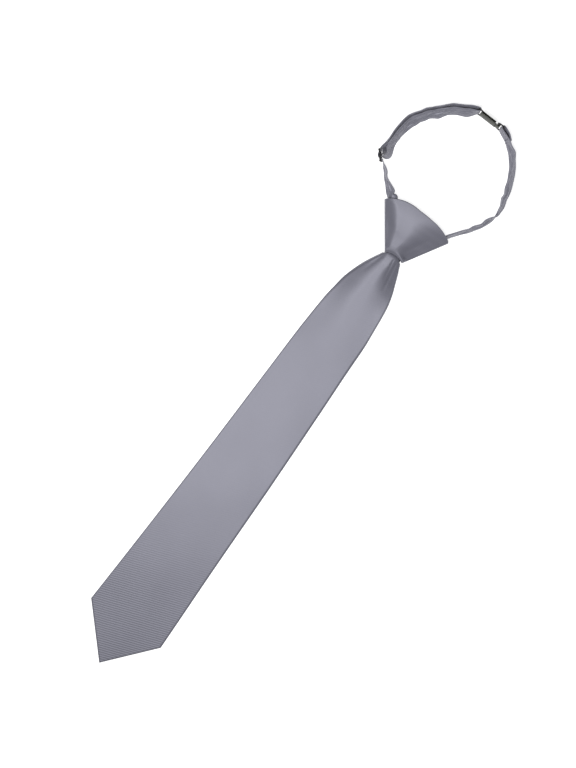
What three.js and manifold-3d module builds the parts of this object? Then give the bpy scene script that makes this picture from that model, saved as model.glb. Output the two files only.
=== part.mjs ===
// A pre-tied necktie that lies on its back with its neck loop clasped shut: a folded blade, a hollow knot and a
// strap of the same cloth in two halves, with a metal slider and a hook-and-ring clasp.
// Millimetres. +Y runs from the blade's tip to the clasp, +X to the right seen from the front, +Z is the front.
import * as THREE from 'three';
import { mergeVertices } from 'three/addons/utils/BufferGeometryUtils.js';
import Module from 'manifold-3d';

// Cloth
const BLADE_THICK = 3.4; // two layers of cloth over a thick interlining
const KNOT_WALL = 1.6;
const STRAP_WIDTH = 12;
const STRAP_THICK = 1;
const CLEAR = 0.35; // air between neighbouring pieces
const FRONT_ROLL = 1.7; // how wide the fronts of the blade and the knot roll over at their edges

// The blade's back: a seam up the middle between the two flaps, and the set-in cloth behind the tip
const SEAM_DEEP = 0.7;
const SEAM_HALF = 1.6;
const SEAM_SHARE = 0.12; // of the level back, where that is narrower
const TIP_RECESS = 0.6;

// The knot in plan is a slice of a ring round this point in the blade's waist
const KNOT_APEX = { x: 3.6, y: 452.3 };
const KNOT_MOUTH = 18.2;
const KNOT_RIM_MEAN = 66.5;
const KNOT_BACK_TOP = 61;
const KNOT_LEFT = -35.8; // degrees from +Y
const KNOT_RIGHT = 31.4;
const KNOT_CROWN = 1.2; // how much lower the front lies at its edges than at its middle
const KNOT_WIDEST = 0.55; // the level of the knot's widest line, as a share of its depth
const KNOT_INNER_ROLL = 0.4;
const KNOT_GATHER = 0.12; // the share of the way up the knot over which its falls set in

// The neck loop
const LOOP = { x: -2.45, y: 562.76 };

// Metal
const WIRE = 1.2;
const WIRE_BEND = 1.6;
const BAR = 1.2;
const SLIDER_RAIL = 1.3;
const SLIDER_LOW = 0.1;
const SLIDER = { x: -58, y: 533.7, heading: 130.4, long: 12, tall: 15.4, thick: 1.7, lean: 5 };
const SLIDER_STRAP_LIFT = 1.85; // the strap's lower edge off the ground, between the rails
const CLASP = { x: 0.2, y: 622.2, heading: -2.5, long: 17.2, tall: 11, sheet: 0.7, lean: 18 };
const EYE = { far: -12.7, tall: 14.2 }; // its outer bar, from the middle of the plate
const RING = { near: 10.6, far: 15.9, off: 0.5, tall: 15 };
const LOOP_DROP = { eye: 1.5, ring: 1.6 }; // how far the wire loops reach below the plate
const HOOK = { tongue: 5, root: 1, tip: 1.4, corner: 0.2, outerCorner: 0.5 };
const PLATE_FOLD = { short: 1.6, straight: 0.9, lip: 0.4, grip: 0.1, weld: 0.02 };
const CLASP_LIFT = 2.3; // the plate's lower edge off the ground
const CLASP_STRAP_LIFT = 1.8;
const TURN_SLACK = 0.2; // how loosely the strap turns round a bar of the clasp

// The blade's pointed end, in rows that run across it as a V. mid and edge: Y at the middle and at the edges.
// rise: share of the thickness that the rolled end has reached. sunk: 1 where the back is set in.
const TIP = { left: -41.4, right: 38.6, narrowing: 0.055 };
const TIP_ROWS = [
  { name: 'rim', mid: 0, edge: 44.8, rise: 0, sunk: 0 },
  { name: 'roll', mid: 0.4, edge: 45.1, rise: 0.5, sunk: 0 },
  { name: 'roll', mid: 1.3, edge: 45.8, rise: 0.87, sunk: 0 },
  { name: 'level', mid: 2.6, edge: 46.8, rise: 1, sunk: 0 },
  { name: 'hem', mid: 11.5, edge: 48, rise: 1, sunk: 0 },
  { name: 'set-in cloth', mid: 12.4, edge: 48.7, rise: 1, sunk: 1 },
  { name: 'set-in cloth', mid: 90, edge: 54, rise: 1, sunk: 1 },
  { name: 'flaps', mid: 91.2, edge: 54.8, rise: 1, sunk: 0 },
];

// The rest of the blade, from its widest part to its end in the knot. back and front: the lowest level and the
// crest. roll: how wide the edges roll over behind. centre: X of the seam.
const BLADE_ROWS = [
  { mid: 134, edge: 134, centre: 0, left: -37.4, right: 36.4, back: 0, front: 3.4, roll: 1.7 },
  { mid: 224, edge: 224, centre: 0, left: -34.1, right: 34.8, back: 0, front: 3.4, roll: 1.7 },
  { mid: 313, edge: 313, centre: 0, left: -31.7, right: 32.3, back: 0, front: 3.4, roll: 1.8 },
  { mid: 358, edge: 358, centre: 0, left: -30.5, right: 30.8, back: 0, front: 3.6, roll: 2 },
  { mid: 381, edge: 381, centre: 0, left: -29.4, right: 30.3, back: 0, front: 4, roll: 2.3 },
  { mid: 403, edge: 403, centre: 0.3, left: -27.9, right: 28.5, back: 0, front: 5, roll: 2.7 },
  { mid: 415, edge: 414, centre: 0.6, left: -26.4, right: 27.5, back: 0, front: 6, roll: 3.2 },
  { mid: 427, edge: 425.7, centre: 0.8, left: -24.6, right: 26, back: 0, front: 7.2, roll: 3.8 },
  { mid: 439, edge: 436.9, centre: 1, left: -21.4, right: 23.3, back: 0, front: 8.6, roll: 4.5 },
  { mid: 451, edge: 448.1, centre: 1.2, left: -17.1, right: 19.2, back: 0, front: 10.2, roll: 5.2 },
  { mid: 460, edge: 456.5, centre: 1.8, left: -12.9, right: 16, back: 0.2, front: 11.4, roll: 5.6 },
  { mid: 466, edge: 462.4, centre: 2.2, left: -9.6, right: 13.4, back: 0.8, front: 11.6, roll: 5.4 },
  { mid: 469, edge: 465.4, centre: 2.6, left: -7.9, right: 12.2, back: 1.5, front: 11, roll: 4.9 },
  { mid: 470.1, edge: 466.6, centre: 2.7, left: -5, right: 10.4, back: 2.1, front: 9.9, roll: 4.2 },
  { mid: 474, edge: 471, centre: 2.7, left: -5, right: 10.4, back: 2.1, front: 9.9, roll: 4.2 },
  { mid: 494, edge: 494, centre: 2, left: -6, right: 10, back: 2.3, front: 9.6, roll: 3.6 },
];
const KNOT_HIDES_FROM = 470; // Y
const EDGE_AT_LEAST = 0.3; // how far the front stays above its rim where it falls deepest

// Each row of the knot lies at one distance from KNOT_APEX. depth: back to front. roll: the rolled side's width
// behind.
const KNOT_ROWS = [
  { reach: 0, depth: 12.4, roll: 5.6 },
  { reach: 0.02, depth: 13.2, roll: 5.9 },
  { reach: 0.1, depth: 14.6, roll: 6.2 },
  { reach: 0.18, depth: 15.6, roll: 6.3 },
  { reach: 0.3, depth: 17.1, roll: 6.4 },
  { reach: 0.42, depth: 18.4, roll: 6.4 },
  { reach: 0.6, depth: 20, roll: 6.2 },
  { reach: 0.78, depth: 21.2, roll: 5.8 },
  { reach: 0.92, depth: 21.6, roll: 5.4 },
  { reach: 1, depth: 21.7, roll: 5 },
];

// The knot's front rim: how far it lies from KNOT_APEX, by the angle from +Y.
const KNOT_RIM = [
  { angle: -35.8, reach: 67.4 },
  { angle: -29, reach: 68.4 },
  { angle: -22.5, reach: 68.3 },
  { angle: -12, reach: 67 },
  { angle: -3, reach: 65.2 },
  { angle: 6, reach: 64.9 },
  { angle: 15, reach: 65.5 },
  { angle: 22, reach: 65.8 },
  { angle: 28, reach: 65.9 },
  { angle: 31.4, reach: 65.2 },
];

// How the gathered fronts fall from their crest to both sides: on each side the X where the slope starts, how
// wide it is and how deep it goes.
const BLADE_FALLS = [
  { y: 0, left: 6, leftWide: 44, leftDrop: 0, right: -6, rightWide: 40, rightDrop: 1 },
  { y: 110, left: 6, leftWide: 44, leftDrop: 0, right: -6, rightWide: 40, rightDrop: 0.8 },
  { y: 230, left: 6, leftWide: 44, leftDrop: 0, right: 0, rightWide: 36, rightDrop: 0.2 },
  { y: 350, left: 2, leftWide: 36, leftDrop: 0.5, right: 8, rightWide: 20, rightDrop: 0 },
  { y: 395, left: 1, leftWide: 38, leftDrop: 2.1, right: 8, rightWide: 18, rightDrop: 0.1 },
  { y: 415, left: -4, leftWide: 32, leftDrop: 3.3, right: 4, rightWide: 18, rightDrop: 0.5 },
  { y: 430, left: -3, leftWide: 30, leftDrop: 4, right: 2, rightWide: 26, rightDrop: 3 },
  { y: 440, left: -3, leftWide: 27, leftDrop: 4.2, right: 1, rightWide: 26, rightDrop: 5.4 },
  { y: 450, left: -3, leftWide: 21, leftDrop: 3.8, right: 0, rightWide: 24, rightDrop: 6.6 },
  { y: 458, left: -2, leftWide: 15, leftDrop: 3.2, right: 1, rightWide: 20, rightDrop: 5.8 },
  { y: 466, left: -3, leftWide: 9, leftDrop: 2.8, right: 1, rightWide: 16, rightDrop: 4.8 },
];
const KNOT_FALLS = [
  { y: 466, left: -3, leftWide: 8, leftDrop: 2.6, right: -1, rightWide: 18, rightDrop: 4.8 },
  { y: 472, left: -4, leftWide: 7, leftDrop: 2.7, right: -1, rightWide: 19, rightDrop: 5.3 },
  { y: 476, left: -6, leftWide: 7.4, leftDrop: 2.9, right: -1, rightWide: 21, rightDrop: 5.4 },
  { y: 485, left: -8, leftWide: 9, leftDrop: 3.4, right: 1, rightWide: 26, rightDrop: 5.7 },
  { y: 490, left: -10, leftWide: 11, leftDrop: 3.9, right: 2, rightWide: 33, rightDrop: 6.8 },
  { y: 495, left: -12.5, leftWide: 15, leftDrop: 4.3, right: 3, rightWide: 42, rightDrop: 8 },
  { y: 500, left: -14.5, leftWide: 18, leftDrop: 4.8, right: 3, rightWide: 52, rightDrop: 9 },
  { y: 505, left: -18, leftWide: 21, leftDrop: 4.8, right: 3, rightWide: 60, rightDrop: 9 },
  { y: 510, left: -24, leftWide: 20, leftDrop: 4, right: 4, rightWide: 60, rightDrop: 7 },
  { y: 518, left: -31, leftWide: 24, leftDrop: 2.4, right: 6, rightWide: 60, rightDrop: 4.5 },
];

// Points across the front and the back of a soft section. flat: share of the level part, from -1 at its left
// end to 1. turn: degrees round the rolled edge, from 0 at the rim to 90 at the level part.
const EDGE_TURNS = [0, 30, 60];
const BLADE_FLATS = [1, 0.86, 0.72, 0.58, 0.44, 0.3, 0.16];
const KNOT_FLATS = [-1, -0.86, -0.72, -0.6, -0.49, -0.38, -0.26, -0.14, 0, 0.14, 0.3, 0.46, 0.62, 0.8, 1];
const KNOT_BACK_FLATS = [1, 0.5, 0, -0.5, -1];

// The strap's stretch from the knot to the slider: the foot of the band on its outer side, how far its upper
// edge leans to the loop's inside, how high the foot is off the ground and how much the band is bowed.
const LEFT_FREE = [
  { name: 'sewn end in the knot', x: -20.6, y: 495.3, leanIn: 1, lift: 2.4, bow: 0 },
  { name: 'inside the corner', x: -26.6, y: 502.6, leanIn: 1.6, lift: 2.6, bow: 0 },
  { name: 'out of the corner', x: -32.2, y: 508.6, leanIn: 3.6, lift: 3.4, bow: 0.2 },
  { name: 'widening', x: -36.4, y: 511.6, leanIn: 6.6, lift: 2.6, bow: 0.5 },
  { name: 'tip of the fold', x: -39, y: 514, leanIn: 8.2, lift: 2.3, bow: 0.8 },
  { name: 'below the fold', x: -42.2, y: 517.9, leanIn: 5.6, lift: 1.6, bow: 0.6 },
  { name: 'narrowing', x: -44.8, y: 520.6, leanIn: 3.8, lift: 1.2, bow: 0.2 },
  { name: 'waist', x: -47.8, y: 523.8, leanIn: 2.5, lift: 1, bow: 0 },
  { name: 'swelling', x: -50.6, y: 527.4, leanIn: 2.8, lift: 1.2, bow: -0.3 },
  { name: 'into the slider', x: -53.6, y: 530.6, leanIn: 1.9, lift: 1.6, bow: -0.2 },
];
const FREE_NORMAL = { x: 0.81, y: 0.585 }; // to the loop's inside

// Where the strap weaves through the slider: along it from its knot end and across it to the loop's inside, and
// how far the upper edge leans both ways
const WEAVE = [
  { along: -1.2, across: 1.75, leanOn: 0, leanIn: -0.2 },
  { along: 0.7, across: 1.6, leanOn: 0, leanIn: -1 },
  { along: 2.1, across: 1.2, leanOn: 0, leanIn: -1 },
  { along: 2.7, across: 0, leanOn: 0, leanIn: -1 },
  { along: 3.2, across: -1.4, leanOn: 0, leanIn: -1 },
  { along: 4.4, across: -2.5, leanOn: 0, leanIn: -1 },
  { along: 6, across: -2.8, leanOn: 0, leanIn: -1 },
  { along: 7.6, across: -2.5, leanOn: 0, leanIn: -1 },
  { along: 8.8, across: -1.4, leanOn: 0, leanIn: -1 },
  { along: 9.3, across: 0, leanOn: 0, leanIn: -1 },
  { along: 9.9, across: 1.3, leanOn: 0.2, leanIn: -1 },
  { along: 11.4, across: 2.1, leanOn: 1, leanIn: -1.4 },
];
// Where the strap's sewn end comes back, turns round the slider's middle bar and bulges to the loop's inside
const SEWN_END = [
  { along: 10.6, across: 8.6, leanOn: 3.6, leanIn: -5.2 },
  { along: 8.8, across: 6.4, leanOn: 3.4, leanIn: -3.6 },
  { along: 7.6, across: 4.2, leanOn: 2.6, leanIn: -2 },
  { along: 7.3, across: 2.2, leanOn: 0.8, leanIn: -1.2 },
  { along: 7.5, across: 0.6, leanOn: 0, leanIn: -1 },
  { along: 7.35, across: -0.7, leanOn: 0, leanIn: -1 },
  { along: 6.8, across: -1.3, leanOn: 0, leanIn: -1 },
  { along: 6, across: -1.45, leanOn: 0, leanIn: -1 },
  { along: 5.2, across: -1.3, leanOn: 0, leanIn: -1 },
  { along: 4.65, across: -0.7, leanOn: 0, leanIn: -1 },
  { along: 4.5, across: 0.6, leanOn: 0, leanIn: -1 },
  { along: 3.6, across: 2, leanOn: 1.6, leanIn: -1 },
  { along: 2.4, across: 3.6, leanOn: 3, leanIn: -1 },
  { along: 1.9, across: 5.6, leanOn: 3.8, leanIn: -1.6 },
  { along: 2.4, across: 7.8, leanOn: 4.4, leanIn: -2.8 },
  { along: 4, across: 9.6, leanOn: 4.6, leanIn: -4.2 },
  { along: 6.4, across: 10.8, leanOn: 4.4, leanIn: -5.2 },
  { along: 9.2, across: 11.8, leanOn: 4.2, leanIn: -6.2 },
];
const SEWN_TO_BAND = [
  { angle: 191, foot: 54.9, upper: 61.4 },
  { angle: 186, foot: 54.7, upper: 60.8 },
  { angle: 181, foot: 54, upper: 60 },
];

// The doubled stretch from the slider to the clasp, by the angle round the loop: the radius of its inner foot,
// the radius of its outer upper edge, and how far the two layers' upper edges are apart.
const DOUBLED = [
  { angle: 190, inner: 56.1, outer: 64.7, apart: 1.9 },
  { angle: 185, inner: 55.6, outer: 63.8, apart: 2.2 },
  { angle: 179, inner: 54.4, outer: 63.9, apart: 2.5 },
  { angle: 172, inner: 53.5, outer: 64.2, apart: 2.8 },
  { angle: 165, inner: 53, outer: 64.8, apart: 3 },
  { angle: 160, inner: 52.3, outer: 64.9, apart: 3 },
  { angle: 155, inner: 52.6, outer: 63.8, apart: 2.8 },
  { angle: 150, inner: 51.8, outer: 62.9, apart: 2.7 },
  { angle: 145, inner: 52.1, outer: 63.2, apart: 2.9 },
  { angle: 140, inner: 50.9, outer: 62.4, apart: 2.8 },
  { angle: 136, inner: 49.9, outer: 62.4, apart: 2.8 },
  { angle: 131, inner: 51, outer: 62.4, apart: 2.8 },
  { angle: 126, inner: 52.5, outer: 63.1, apart: 3.1 },
  { angle: 121, inner: 52.9, outer: 64.2, apart: 3.3 },
  { angle: 116, inner: 53.2, outer: 64.2, apart: 3.2 },
  { angle: 111, inner: 53.1, outer: 64.8, apart: 3.4 },
  { angle: 106, inner: 53.8, outer: 66.3, apart: 3.6 },
];
const FEET_FURTHER_APART = 1;
const LAYER_BOW = { outer: -1.5, inner: -0.5 };

// The single stretch from the knot to the ring: the radii of its foot and its upper edge, and its bow outwards
const SINGLE = [
  { angle: -41, foot: 60.4, upper: 57.4, bow: 0.7 },
  { angle: -35, foot: 60, upper: 57.5, bow: 1 },
  { angle: -30, foot: 60, upper: 56.8, bow: 1.1 },
  { angle: -23, foot: 60.7, upper: 58.4, bow: 1 },
  { angle: -17, foot: 61.2, upper: 57.3, bow: 0.9 },
  { angle: -12, foot: 61.5, upper: 58.9, bow: 0.5 },
  { angle: -7, foot: 60.3, upper: 62, bow: 0.3 },
  { angle: -3, foot: 59, upper: 62, bow: 0 },
  { angle: 2, foot: 57.9, upper: 61.8, bow: -0.2 },
  { angle: 9, foot: 55.9, upper: 60.9, bow: -0.3 },
  { angle: 13, foot: 56.6, upper: 61.1, bow: 0 },
  { angle: 19, foot: 55.4, upper: 61.4, bow: 0.3 },
  { angle: 26, foot: 56.1, upper: 61.4, bow: 0 },
  { angle: 33, foot: 56.5, upper: 62.2, bow: -0.3 },
  { angle: 39, foot: 57.3, upper: 62.8, bow: 0 },
  { angle: 45, foot: 57.6, upper: 63.4, bow: 0.3 },
  { angle: 51, foot: 58.4, upper: 65, bow: 0 },
  { angle: 57, foot: 58.9, upper: 64.4, bow: -0.2 },
  { angle: 62, foot: 59.7, upper: 64.9, bow: 0 },
];
const RIGHT_IN_KNOT = [
  { name: 'sewn end in the knot', x: 27, y: 501, leanOut: -0.6, lift: 2.3, bow: 0 },
  { name: 'inside the corner', x: 30, y: 505.6, leanOut: -1.4, lift: 2.4, bow: 0.2 },
  { name: 'out of the corner', x: 33.4, y: 510.6, leanOut: -2.6, lift: 2.3, bow: 0.5 },
  { name: 'clear of the knot', x: 37.4, y: 515.9, leanOut: -2.8, lift: 1.4, bow: 0.6 },
];
const RIGHT_NORMAL = { x: 0.86, y: -0.5 }; // to the loop's outside
// The right strap's end, folded back outside through the ring
const FOLDED_BACK = [
  { angle: 71, foot: 63, upper: 68 },
  { angle: 66, foot: 62.8, upper: 67.6 },
  { angle: 61, foot: 62, upper: 66.5 },
];
const STRAP_LIFT = 0.3; // the strap's foot off the ground round the loop

const degrees = THREE.MathUtils.degToRad;
const lerp = THREE.MathUtils.lerp;
const tie = new THREE.Group();

// One closed body from four-cornered faces. Corners that meet become one, and faces that collapse are dropped.
function bodyOf(faces) {
  const corners = [];
  for (const [a, b, c, d] of faces) {
    for (const p of [a, b, c, a, c, d]) corners.push(p.x, p.y, p.z);
  }
  const loose = new THREE.BufferGeometry();
  loose.setAttribute('position', new THREE.Float32BufferAttribute(corners, 3));
  const merged = mergeVertices(loose, 1e-3);
  const index = merged.index.array;
  const kept = [];
  for (let i = 0; i < index.length; i += 3) {
    const [a, b, c] = [index[i], index[i + 1], index[i + 2]];
    if (a !== b && b !== c && c !== a) kept.push(a, b, c);
  }
  merged.setIndex(kept);
  return merged;
}

// The faces between neighbouring rows of points. wrap joins each row's last point to its first.
function facesBetween(rows, { wrap = false, inward = false } = {}) {
  const faces = [];
  const count = rows[0].length;
  for (let r = 0; r + 1 < rows.length; r++) {
    for (let k = 0; k < (wrap ? count : count - 1); k++) {
      const next = (k + 1) % count;
      const face = [rows[r][k], rows[r][next], rows[r + 1][next], rows[r + 1][k]];
      faces.push(inward ? face.reverse() : face);
    }
  }
  return faces;
}

// How far a front lies below its crest at one point.
function fallAt(x, y, falls) {
  const found = falls.findIndex((row) => row.y >= y);
  const next = found < 0 ? falls.length - 1 : Math.max(1, found);
  const [a, b] = [falls[next - 1], falls[next]];
  const share = THREE.MathUtils.clamp((y - a.y) / (b.y - a.y), 0, 1);
  const at = (column) => lerp(a[column], b[column], share);
  return at('leftDrop') * THREE.MathUtils.smoothstep(at('left') - x, 0, at('leftWide'))
    + at('rightDrop') * THREE.MathUtils.smoothstep(x - at('right'), 0, at('rightWide'));
}

// The blade: a front and a back that meet along the rolled edges and the tip, closed plainly inside the knot.
function blade() {
  const half = [
    ...EDGE_TURNS.map((turn) => ({ flat: 1, turn })),
    ...BLADE_FLATS.map((flat) => ({ flat, turn: 90 })),
    { seam: true, turn: 90 },
  ];
  const across = [
    ...half.map((column) => ({ ...column, side: -1 })),
    { flat: 0, turn: 90, side: 0, groove: true },
    ...half.toReversed().map((column) => ({ ...column, side: 1 })),
  ];
  const widest = TIP_ROWS[0].edge;
  const rows = [
    ...TIP_ROWS.map((row) => {
      const pulled = TIP.narrowing * (row.edge - widest);
      const shape = { centre: 0, left: TIP.left + pulled, right: TIP.right - pulled / 3, bow: 1 };
      return { ...row, ...shape, back: 0, front: BLADE_THICK, roll: BLADE_THICK / 2 };
    }),
    ...BLADE_ROWS.map((row) => ({ ...row, bow: 2, rise: 1, sunk: 0 })),
  ];
  const front = [];
  const back = [];
  for (const row of rows) {
    const middle = (row.front + row.back) / 2;
    const inKnot = row.mid > KNOT_HIDES_FROM;
    const points = across.map((column) => {
      const reach = column.side < 0 ? row.centre - row.left : row.right - row.centre;
      const swell = Math.sin(degrees(column.turn)) * row.rise;
      const place = (roll) => {
        const round = column.flat === 1 ? roll * Math.cos(degrees(column.turn)) : 0;
        const level = reach - roll;
        const flat = column.seam ? Math.min(SEAM_HALF, SEAM_SHARE * level) : column.flat * level;
        const x = row.centre + column.side * (flat + round);
        return { x, y: lerp(row.mid, row.edge, (Math.abs(x - row.centre) / reach) ** row.bow) };
      };
      const over = place(Math.min(FRONT_ROLL, row.roll));
      const under = place(row.roll);
      const crest = Math.max(row.front - fallAt(over.x, over.y, BLADE_FALLS), middle + EDGE_AT_LEAST);
      const setIn = row.sunk && column.turn === 90 && column.flat !== 1 ? TIP_RECESS : 0;
      const groove = column.groove && swell === 1 && !row.sunk && !inKnot ? SEAM_DEEP : 0;
      return {
        front: new THREE.Vector3(over.x, over.y, middle + (crest - middle) * swell),
        back: new THREE.Vector3(under.x, under.y, middle - (middle - row.back) * swell + setIn + groove),
      };
    });
    front.push(points.map((point) => point.front));
    back.push(points.map((point) => point.back));
  }
  const end = facesBetween([back.at(-1), front.at(-1)], { inward: true });
  return bodyOf([...facesBetween(front), ...facesBetween(back, { inward: true }), ...end]);
}

// The front rim's distance at one angle, along the straight runs of its table.
function rimAt(angle) {
  const next = Math.max(1, KNOT_RIM.findIndex((row) => row.angle >= angle));
  const [a, b] = [KNOT_RIM[next - 1], KNOT_RIM[next]];
  return lerp(a.reach, b.reach, THREE.MathUtils.clamp((angle - a.angle) / (b.angle - a.angle), 0, 1));
}

// One closed ring of points round the knot, set in from its outer face by inset.
function knotRing(row, inset) {
  const front = row.depth - inset;
  const side = row.depth * KNOT_WIDEST;
  const across = [
    ...EDGE_TURNS.map((turn) => ({ flat: -1, turn })),
    ...KNOT_FLATS.map((flat) => ({ flat, turn: 90 })),
    ...EDGE_TURNS.toReversed().map((turn) => ({ flat: 1, turn })),
  ];
  const under = [
    ...EDGE_TURNS.slice(1).map((turn) => ({ flat: 1, turn })),
    ...KNOT_BACK_FLATS.map((flat) => ({ flat, turn: 90 })),
    ...EDGE_TURNS.slice(1).toReversed().map((turn) => ({ flat: -1, turn })),
  ];
  const middle = degrees((KNOT_LEFT + KNOT_RIGHT) / 2);
  const spread = degrees((KNOT_RIGHT - KNOT_LEFT) / 2);
  const gather = THREE.MathUtils.smoothstep(row.reach, 0, KNOT_GATHER);
  const point = (column, top) => {
    const swell = Math.sin(degrees(column.turn));
    const mean = lerp(KNOT_MOUTH, KNOT_RIM_MEAN, row.reach);
    const width = mean * spread - inset;
    const roll = Math.max((top ? FRONT_ROLL : row.roll) - inset, KNOT_INNER_ROLL);
    const out = Math.abs(column.flat) === 1 ? roll * Math.cos(degrees(column.turn)) : 0;
    const sideways = column.flat * (width - roll) + Math.sign(column.flat) * out;
    const angle = middle + sideways / mean;
    const rim = rimAt(THREE.MathUtils.radToDeg(angle));
    const reach = lerp(KNOT_MOUTH, top ? rim : lerp(rim, KNOT_BACK_TOP, swell), row.reach);
    const x = KNOT_APEX.x + reach * Math.sin(angle);
    const y = KNOT_APEX.y + reach * Math.cos(angle);
    const lower = KNOT_CROWN * (sideways / width) ** 2 + fallAt(x, y, KNOT_FALLS) * gather;
    const level = top ? side + (front - side - lower) * swell : side - (side - inset) * swell;
    return new THREE.Vector3(x, y, level);
  };
  return [...across.map((column) => point(column, true)), ...under.map((column) => point(column, false))];
}

// The knot: a wall round a hollow that is open at the mouth and at the top.
function knot() {
  const outer = KNOT_ROWS.map((row) => knotRing(row, 0));
  const inner = KNOT_ROWS.map((row) => knotRing(row, KNOT_WALL));
  return bodyOf([
    ...facesBetween(outer, { wrap: true }),
    ...facesBetween(inner, { wrap: true, inward: true }),
    ...facesBetween([inner[0], outer[0]], { wrap: true }),
    ...facesBetween([outer.at(-1), inner.at(-1)], { wrap: true }),
  ]);
}

// A flat band that stands on one long edge. Each station has the foot's place, how far the upper edge lies beside
// it and, as the lean's z, how far the middle is bowed; a smooth curve through the stations carries the section.
const BAND_SECTION = [
  { up: 0, out: 0 }, { up: 0.06, out: 1 }, { up: 0.5, out: 1 }, { up: 0.94, out: 1 },
  { up: 1, out: 0 }, { up: 0.94, out: -1 }, { up: 0.5, out: -1 }, { up: 0.06, out: -1 },
];
function band(stations, stepsEach) {
  const feet = new THREE.CatmullRomCurve3(stations.map((s) => s.foot));
  const leans = new THREE.CatmullRomCurve3(stations.map((s) => s.lean));
  const steps = (stations.length - 1) * stepsEach;
  const rings = [];
  for (let i = 0; i <= steps; i++) {
    const at = i / steps;
    const lean = leans.getPoint(at);
    const rise = Math.sqrt(STRAP_WIDTH ** 2 - lean.x ** 2 - lean.y ** 2);
    const upward = new THREE.Vector3(lean.x, lean.y, rise);
    const normal = feet.getTangent(at).setZ(0).normalize().cross(upward).normalize();
    const foot = feet.getPoint(at);
    rings.push(BAND_SECTION.map(({ up, out }) => foot.clone()
      .addScaledVector(upward, up)
      .addScaledVector(normal, out * STRAP_THICK / 2 + lean.z * 4 * up * (1 - up))));
  }
  const cap = ([a, b, c, d, e, f, g, h]) => [[a, b, g, h], [b, c, f, g], [c, d, e, f]];
  const faces = facesBetween(rings, { wrap: true });
  faces.push(...cap(rings[0]).map((face) => face.toReversed()), ...cap(rings.at(-1)));
  return bodyOf(faces.map((face) => face.toReversed()));
}

// A place beside a line on the ground: along its heading, and across it to the left.
function beside(origin, heading, along, across) {
  const h = degrees(heading);
  return {
    x: origin.x + along * Math.cos(h) - across * Math.sin(h),
    y: origin.y + along * Math.sin(h) + across * Math.cos(h),
  };
}

function station(place, leanX, leanY, lift, bow = 0) {
  return { foot: new THREE.Vector3(place.x, place.y, lift), lean: new THREE.Vector3(leanX, leanY, bow) };
}

// A station of the slider's own tables: across counts to the loop's inside, which is on the heading's right.
function sliderStation({ along, across, leanOn, leanIn }) {
  const place = beside(SLIDER, SLIDER.heading, along, -across);
  const lean = beside({ x: 0, y: 0 }, SLIDER.heading, leanOn, -leanIn);
  return station(place, lean.x, lean.y, SLIDER_STRAP_LIFT);
}

// A station by its angle round the loop.
function loopStation(angle, foot, upper, bow = 0) {
  const out = { x: Math.cos(degrees(angle)), y: Math.sin(degrees(angle)) };
  const place = { x: LOOP.x + out.x * foot, y: LOOP.y + out.y * foot };
  return station(place, out.x * (upper - foot), out.y * (upper - foot), STRAP_LIFT, bow);
}

// The turn of a strap round a wire bar of the clasp, from one side to the other.
function turnRound(along, across, fromAngle, toAngle) {
  const bar = beside(CLASP, CLASP.heading, along, across);
  const out = beside({ x: 0, y: 0 }, CLASP.heading, 0, 1);
  const lean = STRAP_WIDTH * Math.sin(degrees(CLASP.lean));
  const radius = (WIRE + STRAP_THICK) / 2 + CLEAR + TURN_SLACK;
  const stations = [];
  for (let i = 0; i <= 4; i++) {
    const angle = lerp(fromAngle, toAngle, i / 4);
    stations.push(station(beside(bar, angle, radius, 0), out.x * lean, out.y * lean, CLASP_STRAP_LIFT));
  }
  return stations;
}

function leftStrap() {
  const half = STRAP_THICK / 2;
  const free = LEFT_FREE.map((row) =>
    station(row, FREE_NORMAL.x * row.leanIn, FREE_NORMAL.y * row.leanIn, row.lift, row.bow));
  const outerLayer = DOUBLED.map(({ angle, inner, outer, apart }) =>
    loopStation(angle, inner + apart + FEET_FURTHER_APART + half, outer - half, LAYER_BOW.outer));
  const innerLayer = DOUBLED.toReversed().map(({ angle, inner, outer, apart }) =>
    loopStation(angle, inner + half, outer - apart - half, LAYER_BOW.inner));
  return band([
    ...free,
    ...WEAVE.map(sliderStation),
    ...outerLayer,
    ...turnRound(EYE.far, 0, 110, -70),
    ...innerLayer,
    ...SEWN_END.map(sliderStation),
    ...SEWN_TO_BAND.map((row) => loopStation(row.angle, row.foot, row.upper)),
  ], 2);
}

function rightStrap() {
  return band([
    ...RIGHT_IN_KNOT.map((row) =>
      station(row, RIGHT_NORMAL.x * row.leanOut, RIGHT_NORMAL.y * row.leanOut, row.lift, row.bow)),
    ...SINGLE.map((row) => loopStation(row.angle, row.foot, row.upper, row.bow)),
    ...turnRound(RING.far, RING.off, -110, -290),
    ...FOLDED_BACK.map((row) => loopStation(row.angle, row.foot, row.upper)),
  ], 2);
}

const wasm = await Module();
wasm.setup();

function solidOf(geometry) {
  const bare = new THREE.BufferGeometry();
  bare.setAttribute('position', geometry.getAttribute('position'));
  if (geometry.index) bare.setIndex(geometry.index);
  const merged = mergeVertices(bare, 1e-4);
  const mesh = new wasm.Mesh({
    numProp: 3,
    vertProperties: merged.attributes.position.array,
    triVerts: new Uint32Array(merged.index.array),
  });
  return new wasm.Manifold(mesh);
}

function joined(geometries) {
  const mesh = geometries.map(solidOf).reduce((a, b) => a.add(b)).getMesh();
  const result = new THREE.BufferGeometry();
  result.setAttribute('position', new THREE.BufferAttribute(mesh.vertProperties, 3));
  result.setIndex(new THREE.BufferAttribute(mesh.triVerts, 1));
  return result;
}

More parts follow.
